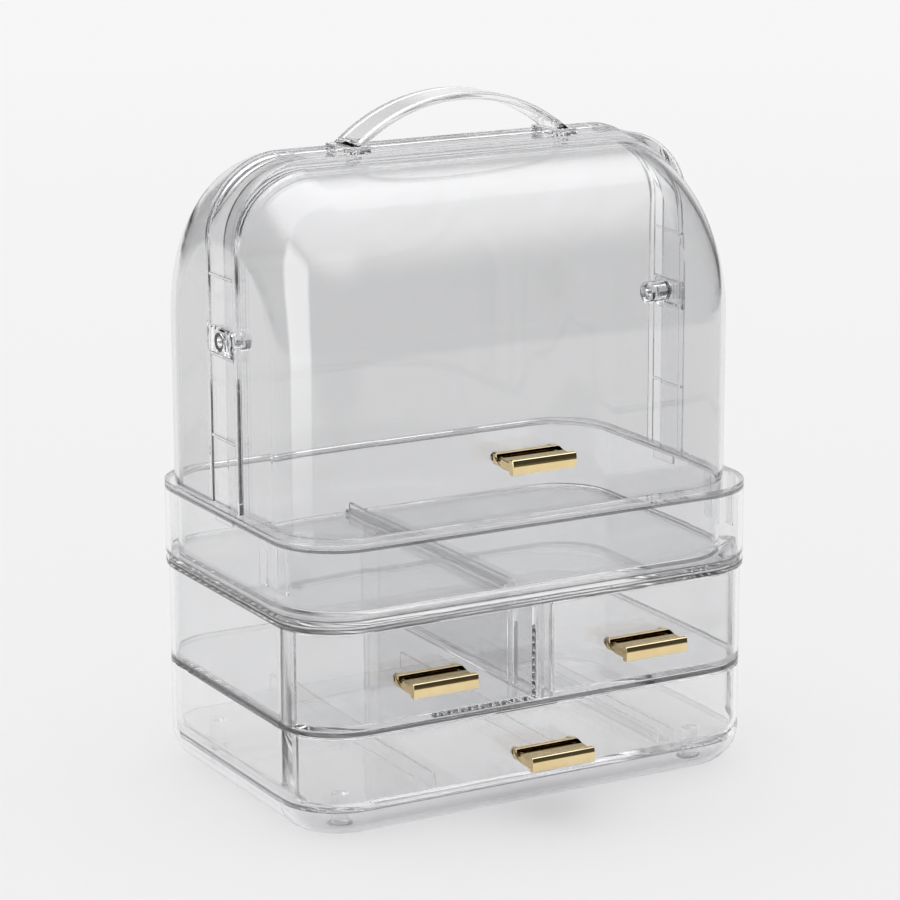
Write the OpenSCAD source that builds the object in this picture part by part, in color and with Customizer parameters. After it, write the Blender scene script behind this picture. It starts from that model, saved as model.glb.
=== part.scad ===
// Clear makeup organizer: a two-tier drawer cabinet, a tray on top, and a dome whose front half tips
// up about two side pins. Millimetres, +Z up, origin under the middle of the overall box.

/* [Cabinet] */
// Width of the cabinet, left to right
case_w = 278; // [240:1:320]
// Depth of the cabinet, front to back
case_d = 192; // [170:1:220]
// Radius of the cabinet's upright corners
corner_r = 35; // [28:1:42]
// Radius that rounds the cabinet's bottom edge
bottom_r = 20; // [14:1:22]
// Thickness of the cabinet's walls
case_wall = 2.6; // [2:0.1:3.5]
// Thickness left at the front tips of the side walls
wall_tip = 0.6; // [0.4:0.1:1.2]
// Height of the base case
base_h = 57.4; // [50:0.2:80]
// Height of the middle case
middle_h = 52.6; // [40:0.2:80]
// Thickness of the shelf between the tiers
shelf_t = 2.8; // [2:0.1:4]
// Thickness of the cabinet's top plate
top_t = 2.8; // [2:0.1:4]
// Height of the front lip under the bottom drawer, above the base case's underside
lip_h = 18.8; // [16:0.2:24]
// Thickness of the floor plate under the bottom drawer
floor_t = 2.8; // [2:0.1:4]
// Gap between the floor plate and the walls of the base case
floor_gap = 0.5; // [0.3:0.1:1]
// Width of the post between the two middle drawers
post_w = 8; // [6:0.5:14]
// Depth of that post
post_d = 3; // [2:0.5:8]
// Thickness of the partition behind the post
web_t = 2.4; // [1.5:0.1:4]
// Distance behind the front at which the partition widens to a hollow box
web_step = 30; // [20:1:60]
// Thickness of that box's walls
web_box_wall = 2; // [1.2:0.1:2.4]

/* [Feet] */
// Height of the feet below the base case
foot_h = 1.2; // [0.8:0.1:3]
// Radius of a foot
foot_r = 7; // [5:0.5:10]
// Radius of the spigot that holds a foot
foot_spigot_r = 2.5; // [1.5:0.1:3.5]
// Distance of the feet from the cabinet's sides
foot_inset_x = 31; // [28:1:45]
// Distance of the feet from the cabinet's front and back
foot_inset_y = 26; // [26:1:45]
// Radius of the posts inside the base case that carry the floor plate
floor_post_r = 4.5; // [3.5:0.5:8]

/* [Drawers] */
// Thickness of the drawers' walls
drawer_wall = 2.2; // [1.6:0.1:3]
// Thickness of the drawers' floors
drawer_floor = 2.2; // [1.6:0.1:3]
// Gap between a drawer and the cabinet at each side
drawer_side_gap = 0.5; // [0.3:0.1:1.2]
// Gap between the bottom drawer and the base case at each side
bottom_side_gap = 0.8; // [0.7:0.1:1.4]
// Gap under a drawer
drawer_lift = 0.3; // [0.2:0.1:0.6]
// Gap above a drawer
drawer_top_gap = 0.8; // [0.4:0.1:2]
// Gap behind a drawer
drawer_back_gap = 1; // [0.5:0.1:4]
// Radius of the bottom drawer's lower corners, seen from the front
drawer_low_r = 8; // [4:0.5:12]
// Places of the partitions in the bottom drawer, from its middle
partition_x = [-65, 15, 77]; // [-100:1:100]
// Height of the partitions in the bottom drawer
partition_h = 9; // [5:0.5:25]
// Thickness of the partitions
partition_t = 2; // [1.5:0.1:3]
// Width of the channel-shaped partition at the right
channel_w = 10.5; // [8:0.5:16]
// Gap between a partition and the drawer's walls
partition_gap = 0.3; // [0.2:0.1:0.6]

/* [Pulls] */
// Width of a pull
pull_w = 38; // [32:1:50]
// How far a pull stands out
pull_d = 21; // [19:0.5:24]
// Height of a pull's front bar
pull_h = 8.2; // [7:0.2:10]
// Length of the pocket in a pull's top
pocket_w = 28; // [20:1:28]
// Depth of that pocket
pocket_depth = 3; // [2:0.2:3.4]
// Place of the left middle drawer's pull, from the cabinet's middle
left_pull_x = -70; // [-90:1:-50]
// Place of the right middle drawer's pull
right_pull_x = 57; // [50:1:90]
// Height of the middle pulls above the shelf
middle_pull_rise = 23.6; // [15:0.2:30]
// Height of the bottom pull above the floor plate
bottom_pull_rise = 13.6; // [10:0.2:24]
// Place of the bottom drawer's pull
bottom_pull_x = 0; // [-60:1:60]
// Place of the lid's pull, from the middle
lid_pull_x = -8; // [-30:1:30]
// Height of the lid's pull above the rim
lid_pull_rise = 31.6; // [20:0.2:50]
// Radius of a pull screw's shank
screw_r = 1.35; // [1.2:0.05:1.5]
// Radius of a pull screw's head
screw_head_r = 2.6; // [2.2:0.1:3.2]
// Thickness of a pull screw's head
screw_head_t = 1.5; // [1:0.1:2]
// Length of a screw inside its pull
screw_bite = 4.5; // [3:0.5:5]
// Distance of a screw from the end of its pull
screw_inset = 2.7; // [2.4:0.1:3]

/* [Tub and tray] */
// How far the tub stands out past the cabinet all round
tub_overhang = 1.4; // [0.6:0.1:3]
// Height of the tub's narrower foot
tub_foot_h = 3.5; // [2.8:0.1:6]
// Height of the tub below its rim
tub_h = 41.6; // [34:0.2:60]
// Thickness of the tub's walls and floor
tub_wall = 2.6; // [2:0.1:3.5]
// Thickness of the rim, which is part of the tray
rim_t = 2.4; // [1.8:0.1:4]
// Thickness of the tray's walls and floor
tray_wall = 2; // [1.5:0.1:2.4]
// Width of the rim at the sides
rim_side = 8.9; // [8.6:0.1:11]
// Width of the rim at the front
rim_front = 13.2; // [12:0.1:14.6]
// Width of the rim at the back
rim_back = 5.4; // [5.2:0.1:5.6]
// Radius of the tray's inner corners
tray_r = 36; // [36:1:42]
// Place of the tray's divider rail, from the middle
rail_x = -15; // [-60:1:60]
// Width of the divider rail's foot
rail_w = 7; // [5:0.5:12]
// Height of the divider rail
rail_h = 6; // [4:0.5:20]
// Thickness of the divider rail
rail_t = 2.4; // [1.5:0.1:4]
// Width of a tongue that hangs from the rim inside the tub
tongue_w = 8; // [5:0.5:10]
// Length of a tongue
tongue_h = 27; // [10:1:34]
// Thickness of a tongue
tongue_t = 1.6; // [1.2:0.1:2]
// Distance of the rear tongue of a pair behind the front corner
tongue_step = 14; // [10:1:40]
// How far the front tongue of a pair is turned round the corner
tongue_turn = 10; // [0:1:15]
// Radius of the corner peg that joins the tub to the cabinet
peg_r = 3; // [2:0.1:3.4]
// Radius of the corner peg's head
peg_head_r = 4.4; // [3.6:0.1:4.8]
// Height of the corner peg's head
peg_head_h = 10; // [3:0.5:14]
// Distance of the corner peg from the cabinet's side
peg_inset_x = 16.5; // [16:0.5:18]
// Distance of the corner peg from the cabinet's front
peg_inset_y = 13.5; // [13:0.5:15]

/* [Dome] */
// Gap between the rear cover and the rim's outer edge at the back
cover_back_inset = 1.4; // [1:0.1:2]
// Gap between the dome and the rim's outer edge at the sides
cover_side_inset = 3.2; // [2.4:0.1:3.4]
// Thickness of the rear cover
cover_wall = 2.6; // [2:0.1:2.8]
// Height of the pivot pins above the rim
pivot_rise = 89.2; // [80:0.2:120]
// Room between the lid and the rear cover when the lid swings in
nest_gap = 4.4; // [2:0.1:6]
// Gap between the lid and the dome's side walls
side_gap = 0.4; // [0.3:0.1:0.8]
// Thickness of the lid
lid_wall = 2.4; // [1.8:0.1:3]
// Radius of the lid's corners
lid_corner_r = 40; // [38:1:46]
// Gap between the closed lid and the rim
lid_lift = 0.3; // [0.2:0.1:0.6]
// Radius of the lid's round ears at the pins
ear_r = 9; // [7.5:0.5:14]

/* [Arch] */
// Width of the arch, front to back
arch_w = 34.8; // [28:0.2:44]
// Thickness of the arch's uprights
arch_side_t = 2.9; // [2.5:0.1:3]
// Thickness of the arch's top at its middle
arch_top_t = 3.8; // [3:0.1:6]
// Gap between the arch and the swinging lid
arch_gap = 1; // [0.6:0.1:1.6]
// Depth of the channel in the arch's outer face
channel_depth = 1.1; // [0.6:0.1:1.3]
// Width of the two rails beside that channel
rail_edge = 3.4; // [2:0.2:6]
// Heights of the cross ribs on the uprights, above the rim
rib_rise = [38, 82.2, 124]; // [20:1:140]
// Places of the cross ribs on the arch's top, from the middle
top_rib_x = [92, 99]; // [80:1:110]
// Thickness of a cross rib
rib_t = 1.6; // [1:0.1:3]
// Length of the tabs under the arch
arch_tab_h = 8; // [4:0.5:12]
// Width of the tabs under the arch
arch_tab_w = 20; // [12:1:26]
// Thickness of the tabs under the arch and the rear cover
tab_t = 1.6; // [1.2:0.1:1.8]
// Places of the tabs under the rear cover, from the middle
cover_tab_x = 60; // [40:1:80]
// Width of the tabs under the rear cover
cover_tab_w = 16; // [10:1:30]
// Gap round a tab in its slot
tab_gap = 0.3; // [0.2:0.1:0.4]

/* [Pivots] */
// Radius of a pivot pin
pin_r = 3; // [2.4:0.1:3.6]
// Running clearance of a pivot pin in the lid
pin_play = 0.05; // [0.02:0.01:0.1]
// Clearance of a pivot pin in the parts that hold it
pin_seat = 0.02; // [0.01:0.01:0.05]
// Radius of a pivot pin's outer head
pin_head_r = 5; // [4.4:0.1:5.4]
// Thickness of that head
pin_head_t = 1.2; // [0.8:0.1:1.4]
// Radius of the knob on a pivot pin's inner end
knob_r = 6; // [5:0.5:8]
// Length of that knob
knob_l = 10; // [6:0.5:14]
// Gap between the knob and the lid
knob_gap = 0.3; // [0.2:0.1:0.6]
// Depth of the pin's seat in its knob
knob_bore = 6; // [4:0.5:6]
// Thickness of a pivot block
block_t = 2.5; // [2:0.1:2.8]
// Gap between a pivot block and the arch's rails
block_gap = 0.3; // [0.2:0.1:0.6]
// Depth of the grooves across a pivot block's face
facet_depth = 0.8; // [0.4:0.1:1]
// Width of those grooves
facet_w = 1.2; // [0.6:0.1:2]

/* [Carry handle] */
// Half the distance between the handle's feet
handle_reach = 70; // [55:1:80]
// Height of the handle above the arch's channel
handle_rise = 28.6; // [22:0.2:45]
// Width of the handle
handle_w = 24; // [18:0.5:26]
// Thickness of the handle
handle_t = 4.2; // [3:0.1:6]
// Radius that rounds the handle's edges
handle_edge_r = 1.6; // [0.8:0.1:1.9]
// Length of a handle's foot
handle_foot_l = 15; // [12:0.5:20]
// Thickness of a handle's foot
handle_foot_t = 4.4; // [4:0.1:6]
// Radius of the dowels that hold the handle
dowel_r = 2.2; // [1.5:0.1:2.5]
// Clearance round a dowel
dowel_seat = 0.03; // [0.01:0.01:0.05]
// Distance of the dowels from the arch's middle line
dowel_y = 7; // [5:0.5:8]

/* [Hidden] */
$fn = 96;
cut = 1;                // how far a cutting solid runs past the face that it opens
room = 0.2;             // space left at the blind end of a screw, peg, pin or spigot
hole_play = 0.2;        // a screw's clearance in a front wall
thread_play = 0.05;     // a screw's clearance in its pull
tongue_gap = 0.4;       // between a tongue and the tub's wall
dowel_end = 0.4;        // how far a dowel's lower end stays above the arch's underside

tub_w = case_w + 2 * tub_overhang;
tub_d = case_d + 2 * tub_overhang;
tub_r = corner_r + tub_overhang;

// levels
z_base = foot_h;
z_lip = z_base + lip_h;
z_shelf = z_base + base_h;
z_middle = z_shelf + shelf_t;
z_top = z_middle + middle_h;
z_tub = z_top + top_t;
z_rim0 = z_tub + tub_h;
z_rim = z_rim0 + rim_t;
z_pivot = z_rim + pivot_rise;
z_tray_floor = z_tub + tub_wall + tray_wall;

// the dome's sizes follow the tub
cover_r = tub_d / 2 - cover_back_inset;
cover_in_r = cover_r - cover_wall;
lid_r = cover_in_r - nest_gap;
cover_half = tub_w / 2 - cover_side_inset;
dome_in_half = cover_half - cover_wall;
lid_half = dome_in_half - side_gap;
cover_corner_r = lid_corner_r + cover_wall;
arch_in_r = lid_r + arch_gap;
arch_half = dome_in_half + arch_side_t;
z_arch = z_pivot + arch_in_r + arch_top_t;
z_channel = z_arch - channel_depth;
arch_channel_w = arch_w - 2 * rail_edge;
channel_x = arch_half - channel_depth;

// the case's opening and the drawers
open_half = case_w / 2 - case_wall;
tip_y = -(case_d / 2 - corner_r) - sqrt(pow(corner_r, 2) - pow(corner_r - case_wall + wall_tip, 2));
drawer_half = open_half - drawer_side_gap;
drawer_rear = case_d / 2 - case_wall - drawer_back_gap;
drawer_inner_x = post_w / 2 + drawer_side_gap;
z_bottom_drawer = z_lip + drawer_lift;
z_middle_drawer = z_middle + drawer_lift;
bottom_drawer_h = z_shelf - drawer_top_gap - z_bottom_drawer;
middle_drawer_h = z_top - drawer_top_gap - z_middle_drawer;

// the overall box is centred on the origin
shift_y = (case_d / 2 + pull_d - tub_d / 2) / 2;

pull_floor = -pull_h / 2 + 2.3;         // underside of a pull's rear bar
bar_d = 4.4;                            // depth of a pull's front bar
bar_edge = 1.2;                         // rounding of the front bar's edges
groove_d = 1.7;                         // depth of the groove behind the front bar
groove_lip = 1;                         // steps of the pull's underside, and the flat in front of the groove
rear_bar_d = 7;                         // depth of a pull's rear bar
pocket_back = 3;                        // thickness behind the pocket
pocket_d = 8.5;                         // size of the pocket, front to back
pull_screw_z = (pull_h / 2 + pull_floor) / 2;
screw_x = pull_w / 2 - screw_inset;
peg_at = [case_w / 2 - peg_inset_x, peg_inset_y - case_d / 2];

clear = [0.86, 0.89, 0.9, 0.35];
gold = [0.83, 0.68, 0.36];

// ---- shared shapes ----

// a rectangle with round corners, about the middle
module plan(w, d, r) {
    square([w - 2 * r, d], center = true);
    square([w, d - 2 * r], center = true);
    for (sx = [-1, 1], sy = [-1, 1])
        translate([sx * (w / 2 - r), sy * (d / 2 - r)]) circle(r);
}

// the side view of a pan: upright wall, round lower edge
module pan_side(half, f, h) {
    square([half - f, h]);
    translate([0, f]) square([half, h - f]);
    translate([half - f, 0]) intersection() {
        translate([0, f]) circle(f);
        square(f);
    }
}

// a solid with round upright corners and a round lower edge
module pan(w, d, r, f, h) {
    for (sx = [-1, 1], sy = [-1, 1])
        translate([sx * (w / 2 - r), sy * (d / 2 - r), 0]) rotate_extrude() pan_side(r, f, h);
    for (s = [0, 1]) mirror([s, 0, 0])
        translate([0, d / 2 - r, 0]) rotate([90, 0, 0]) linear_extrude(d - 2 * r) pan_side(w / 2, f, h);
    for (s = [0, 1]) mirror([0, s, 0])
        translate([w / 2 - r, 0, 0]) rotate([90, 0, -90]) linear_extrude(w - 2 * r) mirror([1, 0]) pan_side(d / 2, f, h);
}

// a box from one corner to the other
module span(low, high) {
    translate(low) cube(high - low);
}

// a dome: upright walls on a round-cornered plan, closed by the same outline turned about the pivot line
module dome(half, r, corner, z0) {
    translate([0, 0, z0]) linear_extrude(z_pivot - z0) plan(2 * half, 2 * r, corner);
    translate([0, 0, z_pivot]) rotate([0, 90, 0]) rotate([0, 0, 90]) rotate_extrude(angle = 180)
        intersection() {
            rotate(90) plan(2 * half, 2 * r, corner);
            translate([0, -half - cut]) square([r + cut, 2 * (half + cut)]);
        }
}

// a rod along X from x0 to x1
module rod(x0, x1, r) {
    translate([x0, 0, 0]) rotate([0, 90, 0]) cylinder(h = x1 - x0, r = r);
}

// everything is built about the cabinet's middle and moved so that the overall box is centred
module placed() {
    translate([0, shift_y, 0]) children();
}

// ---- cabinet ----

// the opening that the bottom drawer closes, seen from the front
module low_opening(half, z0, z1, r) {
    translate([0, (z0 + r + z1) / 2]) square([2 * half, z1 - z0 - r], center = true);
    translate([0, z0 + r / 2]) square([2 * (half - r), r], center = true);
    for (s = [-1, 1]) translate([s * (half - r), z0 + r]) circle(r);
}

module foot_places() {
    for (sx = [-1, 1], sy = [-1, 1])
        translate([sx * (case_w / 2 - foot_inset_x), sy * (case_d / 2 - foot_inset_y), 0]) children();
}

module base_case() color(clear) placed() {
    difference() {
        translate([0, 0, z_base]) pan(case_w, case_d, corner_r, bottom_r, base_h);
        translate([0, 0, z_base + case_wall])
            pan(case_w - 2 * case_wall, case_d - 2 * case_wall, corner_r - case_wall, bottom_r - case_wall, base_h);
        translate([0, -case_d / 2 + corner_r, 0]) rotate([90, 0, 0]) linear_extrude(corner_r + cut)
            low_opening(open_half, z_lip, z_shelf + cut, drawer_low_r + bottom_side_gap);
        for (s = [0, 1]) mirror([s, 0, 0])
            span([open_half - cut, -case_d / 2, z_lip + 2 * drawer_low_r],
                 [case_w / 2 + cut, tip_y, z_shelf + cut]);
        translate([0, 0, z_base - cut]) foot_places()
            cylinder(h = case_wall - room + cut, r = foot_spigot_r + dowel_seat);
    }
    foot_places() translate([0, 0, z_base + case_wall])
        cylinder(h = lip_h - floor_t - case_wall, r = floor_post_r);
}

module base_floor() color(clear) placed() {
    inset = case_wall + floor_gap;
    translate([0, 0, z_lip - floor_t]) linear_extrude(floor_t)
        plan(case_w - 2 * inset, case_d - 2 * inset, corner_r - inset);
}

module middle_shelf() color(clear) placed()
    translate([0, 0, z_shelf]) linear_extrude(shelf_t) plan(case_w, case_d, corner_r);

module middle_case() color(clear) placed()
    translate([0, 0, z_middle]) linear_extrude(middle_h) difference() {
        plan(case_w, case_d, corner_r);
        plan(case_w - 2 * case_wall, case_d - 2 * case_wall, corner_r - case_wall);
        translate([-open_half, -case_d / 2 - cut]) square([2 * open_half, case_d / 2 + cut]);
        translate([-case_w / 2 - cut, -case_d / 2 - cut]) square([case_w + 2 * cut, tip_y + case_d / 2 + cut]);
    }

module cabinet_top() color(clear) placed() difference() {
    translate([0, 0, z_top]) linear_extrude(top_t) plan(tub_w, tub_d, tub_r);
    peg_hole();
}

module centre_divider() color(clear) placed()
    translate([0, -case_d / 2, z_middle]) linear_extrude(middle_h) {
        box_l = case_d - case_wall - web_step;
        translate([-post_w / 2, 0]) square([post_w, post_d]);
        translate([-web_t / 2, 0]) square([web_t, web_step + web_box_wall]);
        translate([-post_w / 2, web_step]) difference() {
            square([post_w, box_l]);
            translate([web_box_wall, web_box_wall]) square([post_w - 2 * web_box_wall, box_l - 2 * web_box_wall]);
        }
    }

// ---- drawers ----

// a drawer's outline between x0 and x1: the cabinet's own outline in front, its cavity's behind
module drawer_plan(x0, x1, inset) {
    behind = case_wall + drawer_side_gap + inset;
    intersection() {
        union() {
            intersection() {
                plan(case_w - 2 * inset, case_d - 2 * inset, corner_r - inset);
                translate([-case_w / 2, -case_d / 2]) square([case_w, case_d / 2]);
            }
            intersection() {
                plan(case_w - 2 * behind, 2 * (drawer_rear - inset), corner_r - behind);
                translate([-case_w / 2, -cut]) square([case_w, case_d / 2 + cut]);
            }
        }
        translate([x0 + inset, -case_d / 2]) square([x1 - x0 - 2 * inset, case_d]);
    }
}

// the two screw holes through a front wall
module screw_holes(x, y, z, r, depth) {
    for (s = [-1, 1])
        translate([x + s * screw_x, y, z + pull_screw_z]) rotate([-90, 0, 0]) cylinder(h = depth, r = r);
}

module front_holes(x, z, wall_y, wall) {
    screw_holes(x, wall_y - cut, z, screw_r + hole_play, wall + 2 * cut);
}

z_middle_pull = z_middle + middle_pull_rise;
z_bottom_pull = z_lip + bottom_pull_rise;
z_lid_pull = z_rim + lid_pull_rise;

module middle_drawer(x0, x1, pull_x) difference() {
    translate([0, 0, z_middle_drawer]) linear_extrude(middle_drawer_h) drawer_plan(x0, x1, 0);
    translate([0, 0, z_middle_drawer + drawer_floor]) linear_extrude(middle_drawer_h) drawer_plan(x0, x1, drawer_wall);
    front_holes(pull_x, z_middle_pull, -case_d / 2, drawer_wall);
}

module left_drawer() color(clear) placed() middle_drawer(-drawer_half, -drawer_inner_x, left_pull_x);
module right_drawer() color(clear) placed() middle_drawer(drawer_inner_x, drawer_half, right_pull_x);

// the bottom drawer's outline with its two lower corners rounded
module low_solid(inset, z0, z1) intersection() {
    translate([0, 0, z0]) linear_extrude(z1 - z0) drawer_plan(-drawer_half, drawer_half, inset);
    translate([0, case_d, 0]) rotate([90, 0, 0]) linear_extrude(2 * case_d)
        low_opening(open_half - bottom_side_gap - inset, z0, z1, drawer_low_r - inset);
}

module bottom_drawer() color(clear) placed() difference() {
    low_solid(0, z_bottom_drawer, z_bottom_drawer + bottom_drawer_h);
    low_solid(drawer_wall, z_bottom_drawer + drawer_floor, z_shelf + cut);
    front_holes(bottom_pull_x, z_bottom_pull, -case_d / 2, drawer_wall);
}

z_partition = z_bottom_drawer + drawer_floor;
partition_y0 = -case_d / 2 + drawer_wall + partition_gap;
partition_y1 = drawer_rear - drawer_wall - partition_gap;

module partition(x, t) color(clear) placed()
    span([x - t / 2, partition_y0, z_partition], [x + t / 2, partition_y1, z_partition + partition_h]);

module left_partition() partition(partition_x[0], partition_t);
module centre_partition() partition(partition_x[1], partition_t);

module right_partition() difference() {
    partition(partition_x[2], channel_w);
    placed() span([partition_x[2] - channel_w / 2 + partition_t, partition_y0 - cut, z_partition + partition_t],
                  [partition_x[2] + channel_w / 2 - partition_t, partition_y1 + cut, z_partition + partition_h + cut]);
}

// ---- pulls ----

// a pull's end view: distance out from the wall, height
module pull_side() {
    top = pull_h / 2;
    bar = pull_d - bar_d;
    translate([bar + bar_d / 2, 0]) plan(bar_d, pull_h, bar_edge);
    polygon([[0, pull_floor], [rear_bar_d + groove_lip, pull_floor], [rear_bar_d + 2 * groove_lip, groove_d - top],
        [bar + bar_edge, groove_d - top], [bar + bar_edge, top - groove_d], [bar - groove_lip, top - groove_d],
        [rear_bar_d, top], [0, top]]);
}

module pull(x, y, z) color(gold) placed() translate([x, y, z]) difference() {
    translate([-pull_w / 2, 0, 0]) rotate([90, 0, 90]) linear_extrude(pull_w) mirror([1, 0]) pull_side();
    span([-pocket_w / 2, -pocket_back - pocket_d, pull_h / 2 - pocket_depth],
        [pocket_w / 2, -pocket_back, pull_h / 2 + cut]);
    screw_holes(0, -screw_bite - room, 0, screw_r + thread_play, screw_bite + room + cut);
}

module pull_screws(x, y, z, wall) color("silver") placed() {
    screw_holes(x, y - screw_bite, z, screw_r, screw_bite + wall + screw_head_t / 2);
    screw_holes(x, y + wall, z, screw_head_r, screw_head_t);
}

module bottom_pull() pull(bottom_pull_x, -case_d / 2, z_bottom_pull);
module left_pull() pull(left_pull_x, -case_d / 2, z_middle_pull);
module right_pull() pull(right_pull_x, -case_d / 2, z_middle_pull);
module lid_pull() pull(lid_pull_x, -lid_r, z_lid_pull);
module bottom_pull_screws() pull_screws(bottom_pull_x, -case_d / 2, z_bottom_pull, drawer_wall);
module left_pull_screws() pull_screws(left_pull_x, -case_d / 2, z_middle_pull, drawer_wall);
module right_pull_screws() pull_screws(right_pull_x, -case_d / 2, z_middle_pull, drawer_wall);
module lid_pull_screws() pull_screws(lid_pull_x, -lid_r, z_lid_pull, lid_wall);

// ---- tub and tray ----

module peg_hole() {
    translate([peg_at[0], peg_at[1], z_top - cut]) cylinder(h = top_t + tub_wall + 2 * cut, r = peg_r + dowel_seat);
}

module upper_tub() color(clear) placed() difference() {
    union() {
        translate([0, 0, z_tub]) linear_extrude(tub_foot_h) plan(case_w, case_d, corner_r);
        translate([0, 0, z_tub + tub_foot_h]) linear_extrude(tub_h - tub_foot_h) plan(tub_w, tub_d, tub_r);
    }
    translate([0, 0, z_tub + tub_wall]) linear_extrude(tub_h)
        plan(tub_w - 2 * tub_wall, tub_d - 2 * tub_wall, tub_r - tub_wall);
    peg_hole();
}

// the tray's outline, grown outward by t
module tray_plan(t) {
    translate([0, (rim_front - rim_back) / 2])
        plan(tub_w - 2 * rim_side + 2 * t, tub_d - rim_front - rim_back + 2 * t, tray_r + t);
}

// the tabs of the arch and the rear cover; gap opens them into slots
module arch_tabs(gap, z0, z1) {
    x = dome_in_half + tab_gap;
    for (s = [0, 1]) mirror([s, 0, 0])
        span([x - gap, -arch_tab_w / 2 - gap, z0], [x + tab_t + gap, arch_tab_w / 2 + gap, z1]);
}

module cover_tabs(gap, z0, z1) {
    y = cover_r - tab_t - tab_gap;
    for (s = [-1, 1]) translate([s * cover_tab_x, 0, 0])
        span([-cover_tab_w / 2 - gap, y - gap, z0], [cover_tab_w / 2 + gap, y + tab_t + gap, z1]);
}

module tongues() intersection() {
    reach = tub_r - tub_wall - tongue_gap;
    for (s = [0, 1]) mirror([s, 0, 0]) translate([tub_w / 2 - tub_r, tub_r - tub_d / 2, z_rim0 - tongue_h])
        for (place = [[0, tongue_step], [-tongue_turn, 0]]) rotate(place[0])
            span([reach - tongue_t, place[1] - tongue_w / 2, 0],
                 [reach + cut, place[1] + tongue_w / 2, tongue_h + tab_gap]);
    translate([0, 0, z_tub]) linear_extrude(z_rim - z_tub)
        plan(tub_w - 2 * (tub_wall + tongue_gap), tub_d - 2 * (tub_wall + tongue_gap), reach);
}

module tray_insert() color(clear) placed() difference() {
    union() {
        translate([0, 0, z_tub + tub_wall]) linear_extrude(z_rim - z_tub - tub_wall) tray_plan(tray_wall);
        translate([0, 0, z_rim0]) linear_extrude(rim_t) plan(tub_w, tub_d, tub_r);
        tongues();
    }
    translate([0, 0, z_tray_floor]) linear_extrude(z_rim) tray_plan(0);
    arch_tabs(tab_gap, z_rim0 - cut, z_rim + cut);
    cover_tabs(tab_gap, z_rim0 + tab_gap, z_rim + cut);
}

module tray_divider() color(clear) placed() {
    y0 = -tub_d / 2 + rim_front + partition_gap;
    y1 = tub_d / 2 - rim_back - partition_gap;
    translate([rail_x, 0, z_tray_floor]) {
        span([-rail_w / 2, y0, 0], [rail_w / 2, y1, rail_t]);
        span([-rail_t / 2, y0, 0], [rail_t / 2, y1, rail_h]);
    }
}

module corner_peg() color(clear) placed() translate([peg_at[0], peg_at[1], 0]) {
    translate([0, 0, z_top + room]) cylinder(h = top_t + tub_wall, r = peg_r);
    translate([0, 0, z_tub + tub_wall]) cylinder(h = peg_head_h, r = peg_head_r);
}

// ---- dome ----

module rear_cover() color(clear) placed() {
    difference() {
        dome(cover_half, cover_r, cover_corner_r, z_rim);
        dome(dome_in_half, cover_in_r, lid_corner_r, z_rim - cut);
        span([-case_w, -case_d, z_rim - cut], [case_w, arch_w / 2, z_arch + case_d]);
    }
    cover_tabs(0, z_rim0 + 2 * tab_gap, z_rim + tab_gap);
}

module front_lid() color(clear) placed() difference() {
    union() {
        difference() {
            dome(lid_half, lid_r, lid_corner_r, z_rim + lid_lift);
            dome(lid_half - lid_wall, lid_r - lid_wall, lid_corner_r - lid_wall, z_rim - cut);
            span([-case_w, 0, z_rim - cut], [case_w, case_d, z_arch + case_d]);
        }
        translate([0, 0, z_pivot]) for (s = [0, 1]) mirror([s, 0, 0]) rod(lid_half - lid_wall, lid_half, ear_r);
    }
    translate([0, 0, z_pivot]) rod(-case_w, case_w, pin_r + pin_play);
    front_holes(lid_pull_x, z_lid_pull, -lid_r, lid_wall);
}

// ---- arch ----

// the arch from the front: w half-width, z1 top
module arch_front(half, z1, r) {
    translate([-half, z_rim]) square([2 * half, z1 - r - z_rim]);
    translate([-(half - r), z1 - r - cut]) square([2 * (half - r), r + cut]);
    for (s = [-1, 1]) translate([s * (half - r), z1 - r]) circle(r);
}

module arch_solid(half, z1, r, w) {
    translate([0, w / 2, 0]) rotate([90, 0, 0]) linear_extrude(w) arch_front(half, z1, r);
}

arch_corner_r = lid_corner_r + arch_side_t;

module arch_ribs() {
    for (rise = rib_rise) span([-arch_half, -arch_channel_w / 2, z_rim + rise - rib_t],
        [arch_half, arch_channel_w / 2, z_rim + rise]);
    for (x = top_rib_x, s = [-1, 1]) translate([s * x, 0, 0])
        span([-rib_t / 2, -arch_channel_w / 2, z_pivot], [rib_t / 2, arch_channel_w / 2, z_arch - cut / 2]);
}

module arch_frame() color(clear) placed() {
    difference() {
        union() {
            arch_solid(arch_half - channel_depth, z_channel, arch_corner_r - channel_depth, arch_channel_w);
            for (s = [0, 1]) mirror([0, s, 0]) translate([0, arch_w / 2 - rail_edge / 2, 0])
                arch_solid(arch_half, z_arch, arch_corner_r, rail_edge);
            intersection() {
                arch_ribs();
                arch_solid(arch_half, z_arch, arch_corner_r, arch_channel_w);
            }
        }
        dome(dome_in_half, arch_in_r, lid_corner_r + side_gap, z_rim - cut);
        translate([0, 0, z_pivot]) rod(-case_w, case_w, pin_r + pin_seat);
        dowel_places() translate([0, 0, z_arch - case_d / 4]) cylinder(h = case_d, r = dowel_r + dowel_seat);
    }
    arch_tabs(0, z_rim0 - arch_tab_h + rim_t, z_rim + tab_gap);
}

// ---- pivots: a block in the arch's channel, a pin through it, and a knob inside ----

block_z0 = z_rim + rib_rise[1];
block_half_h = z_pivot - block_z0;
block_x1 = channel_x + block_t;

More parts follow.
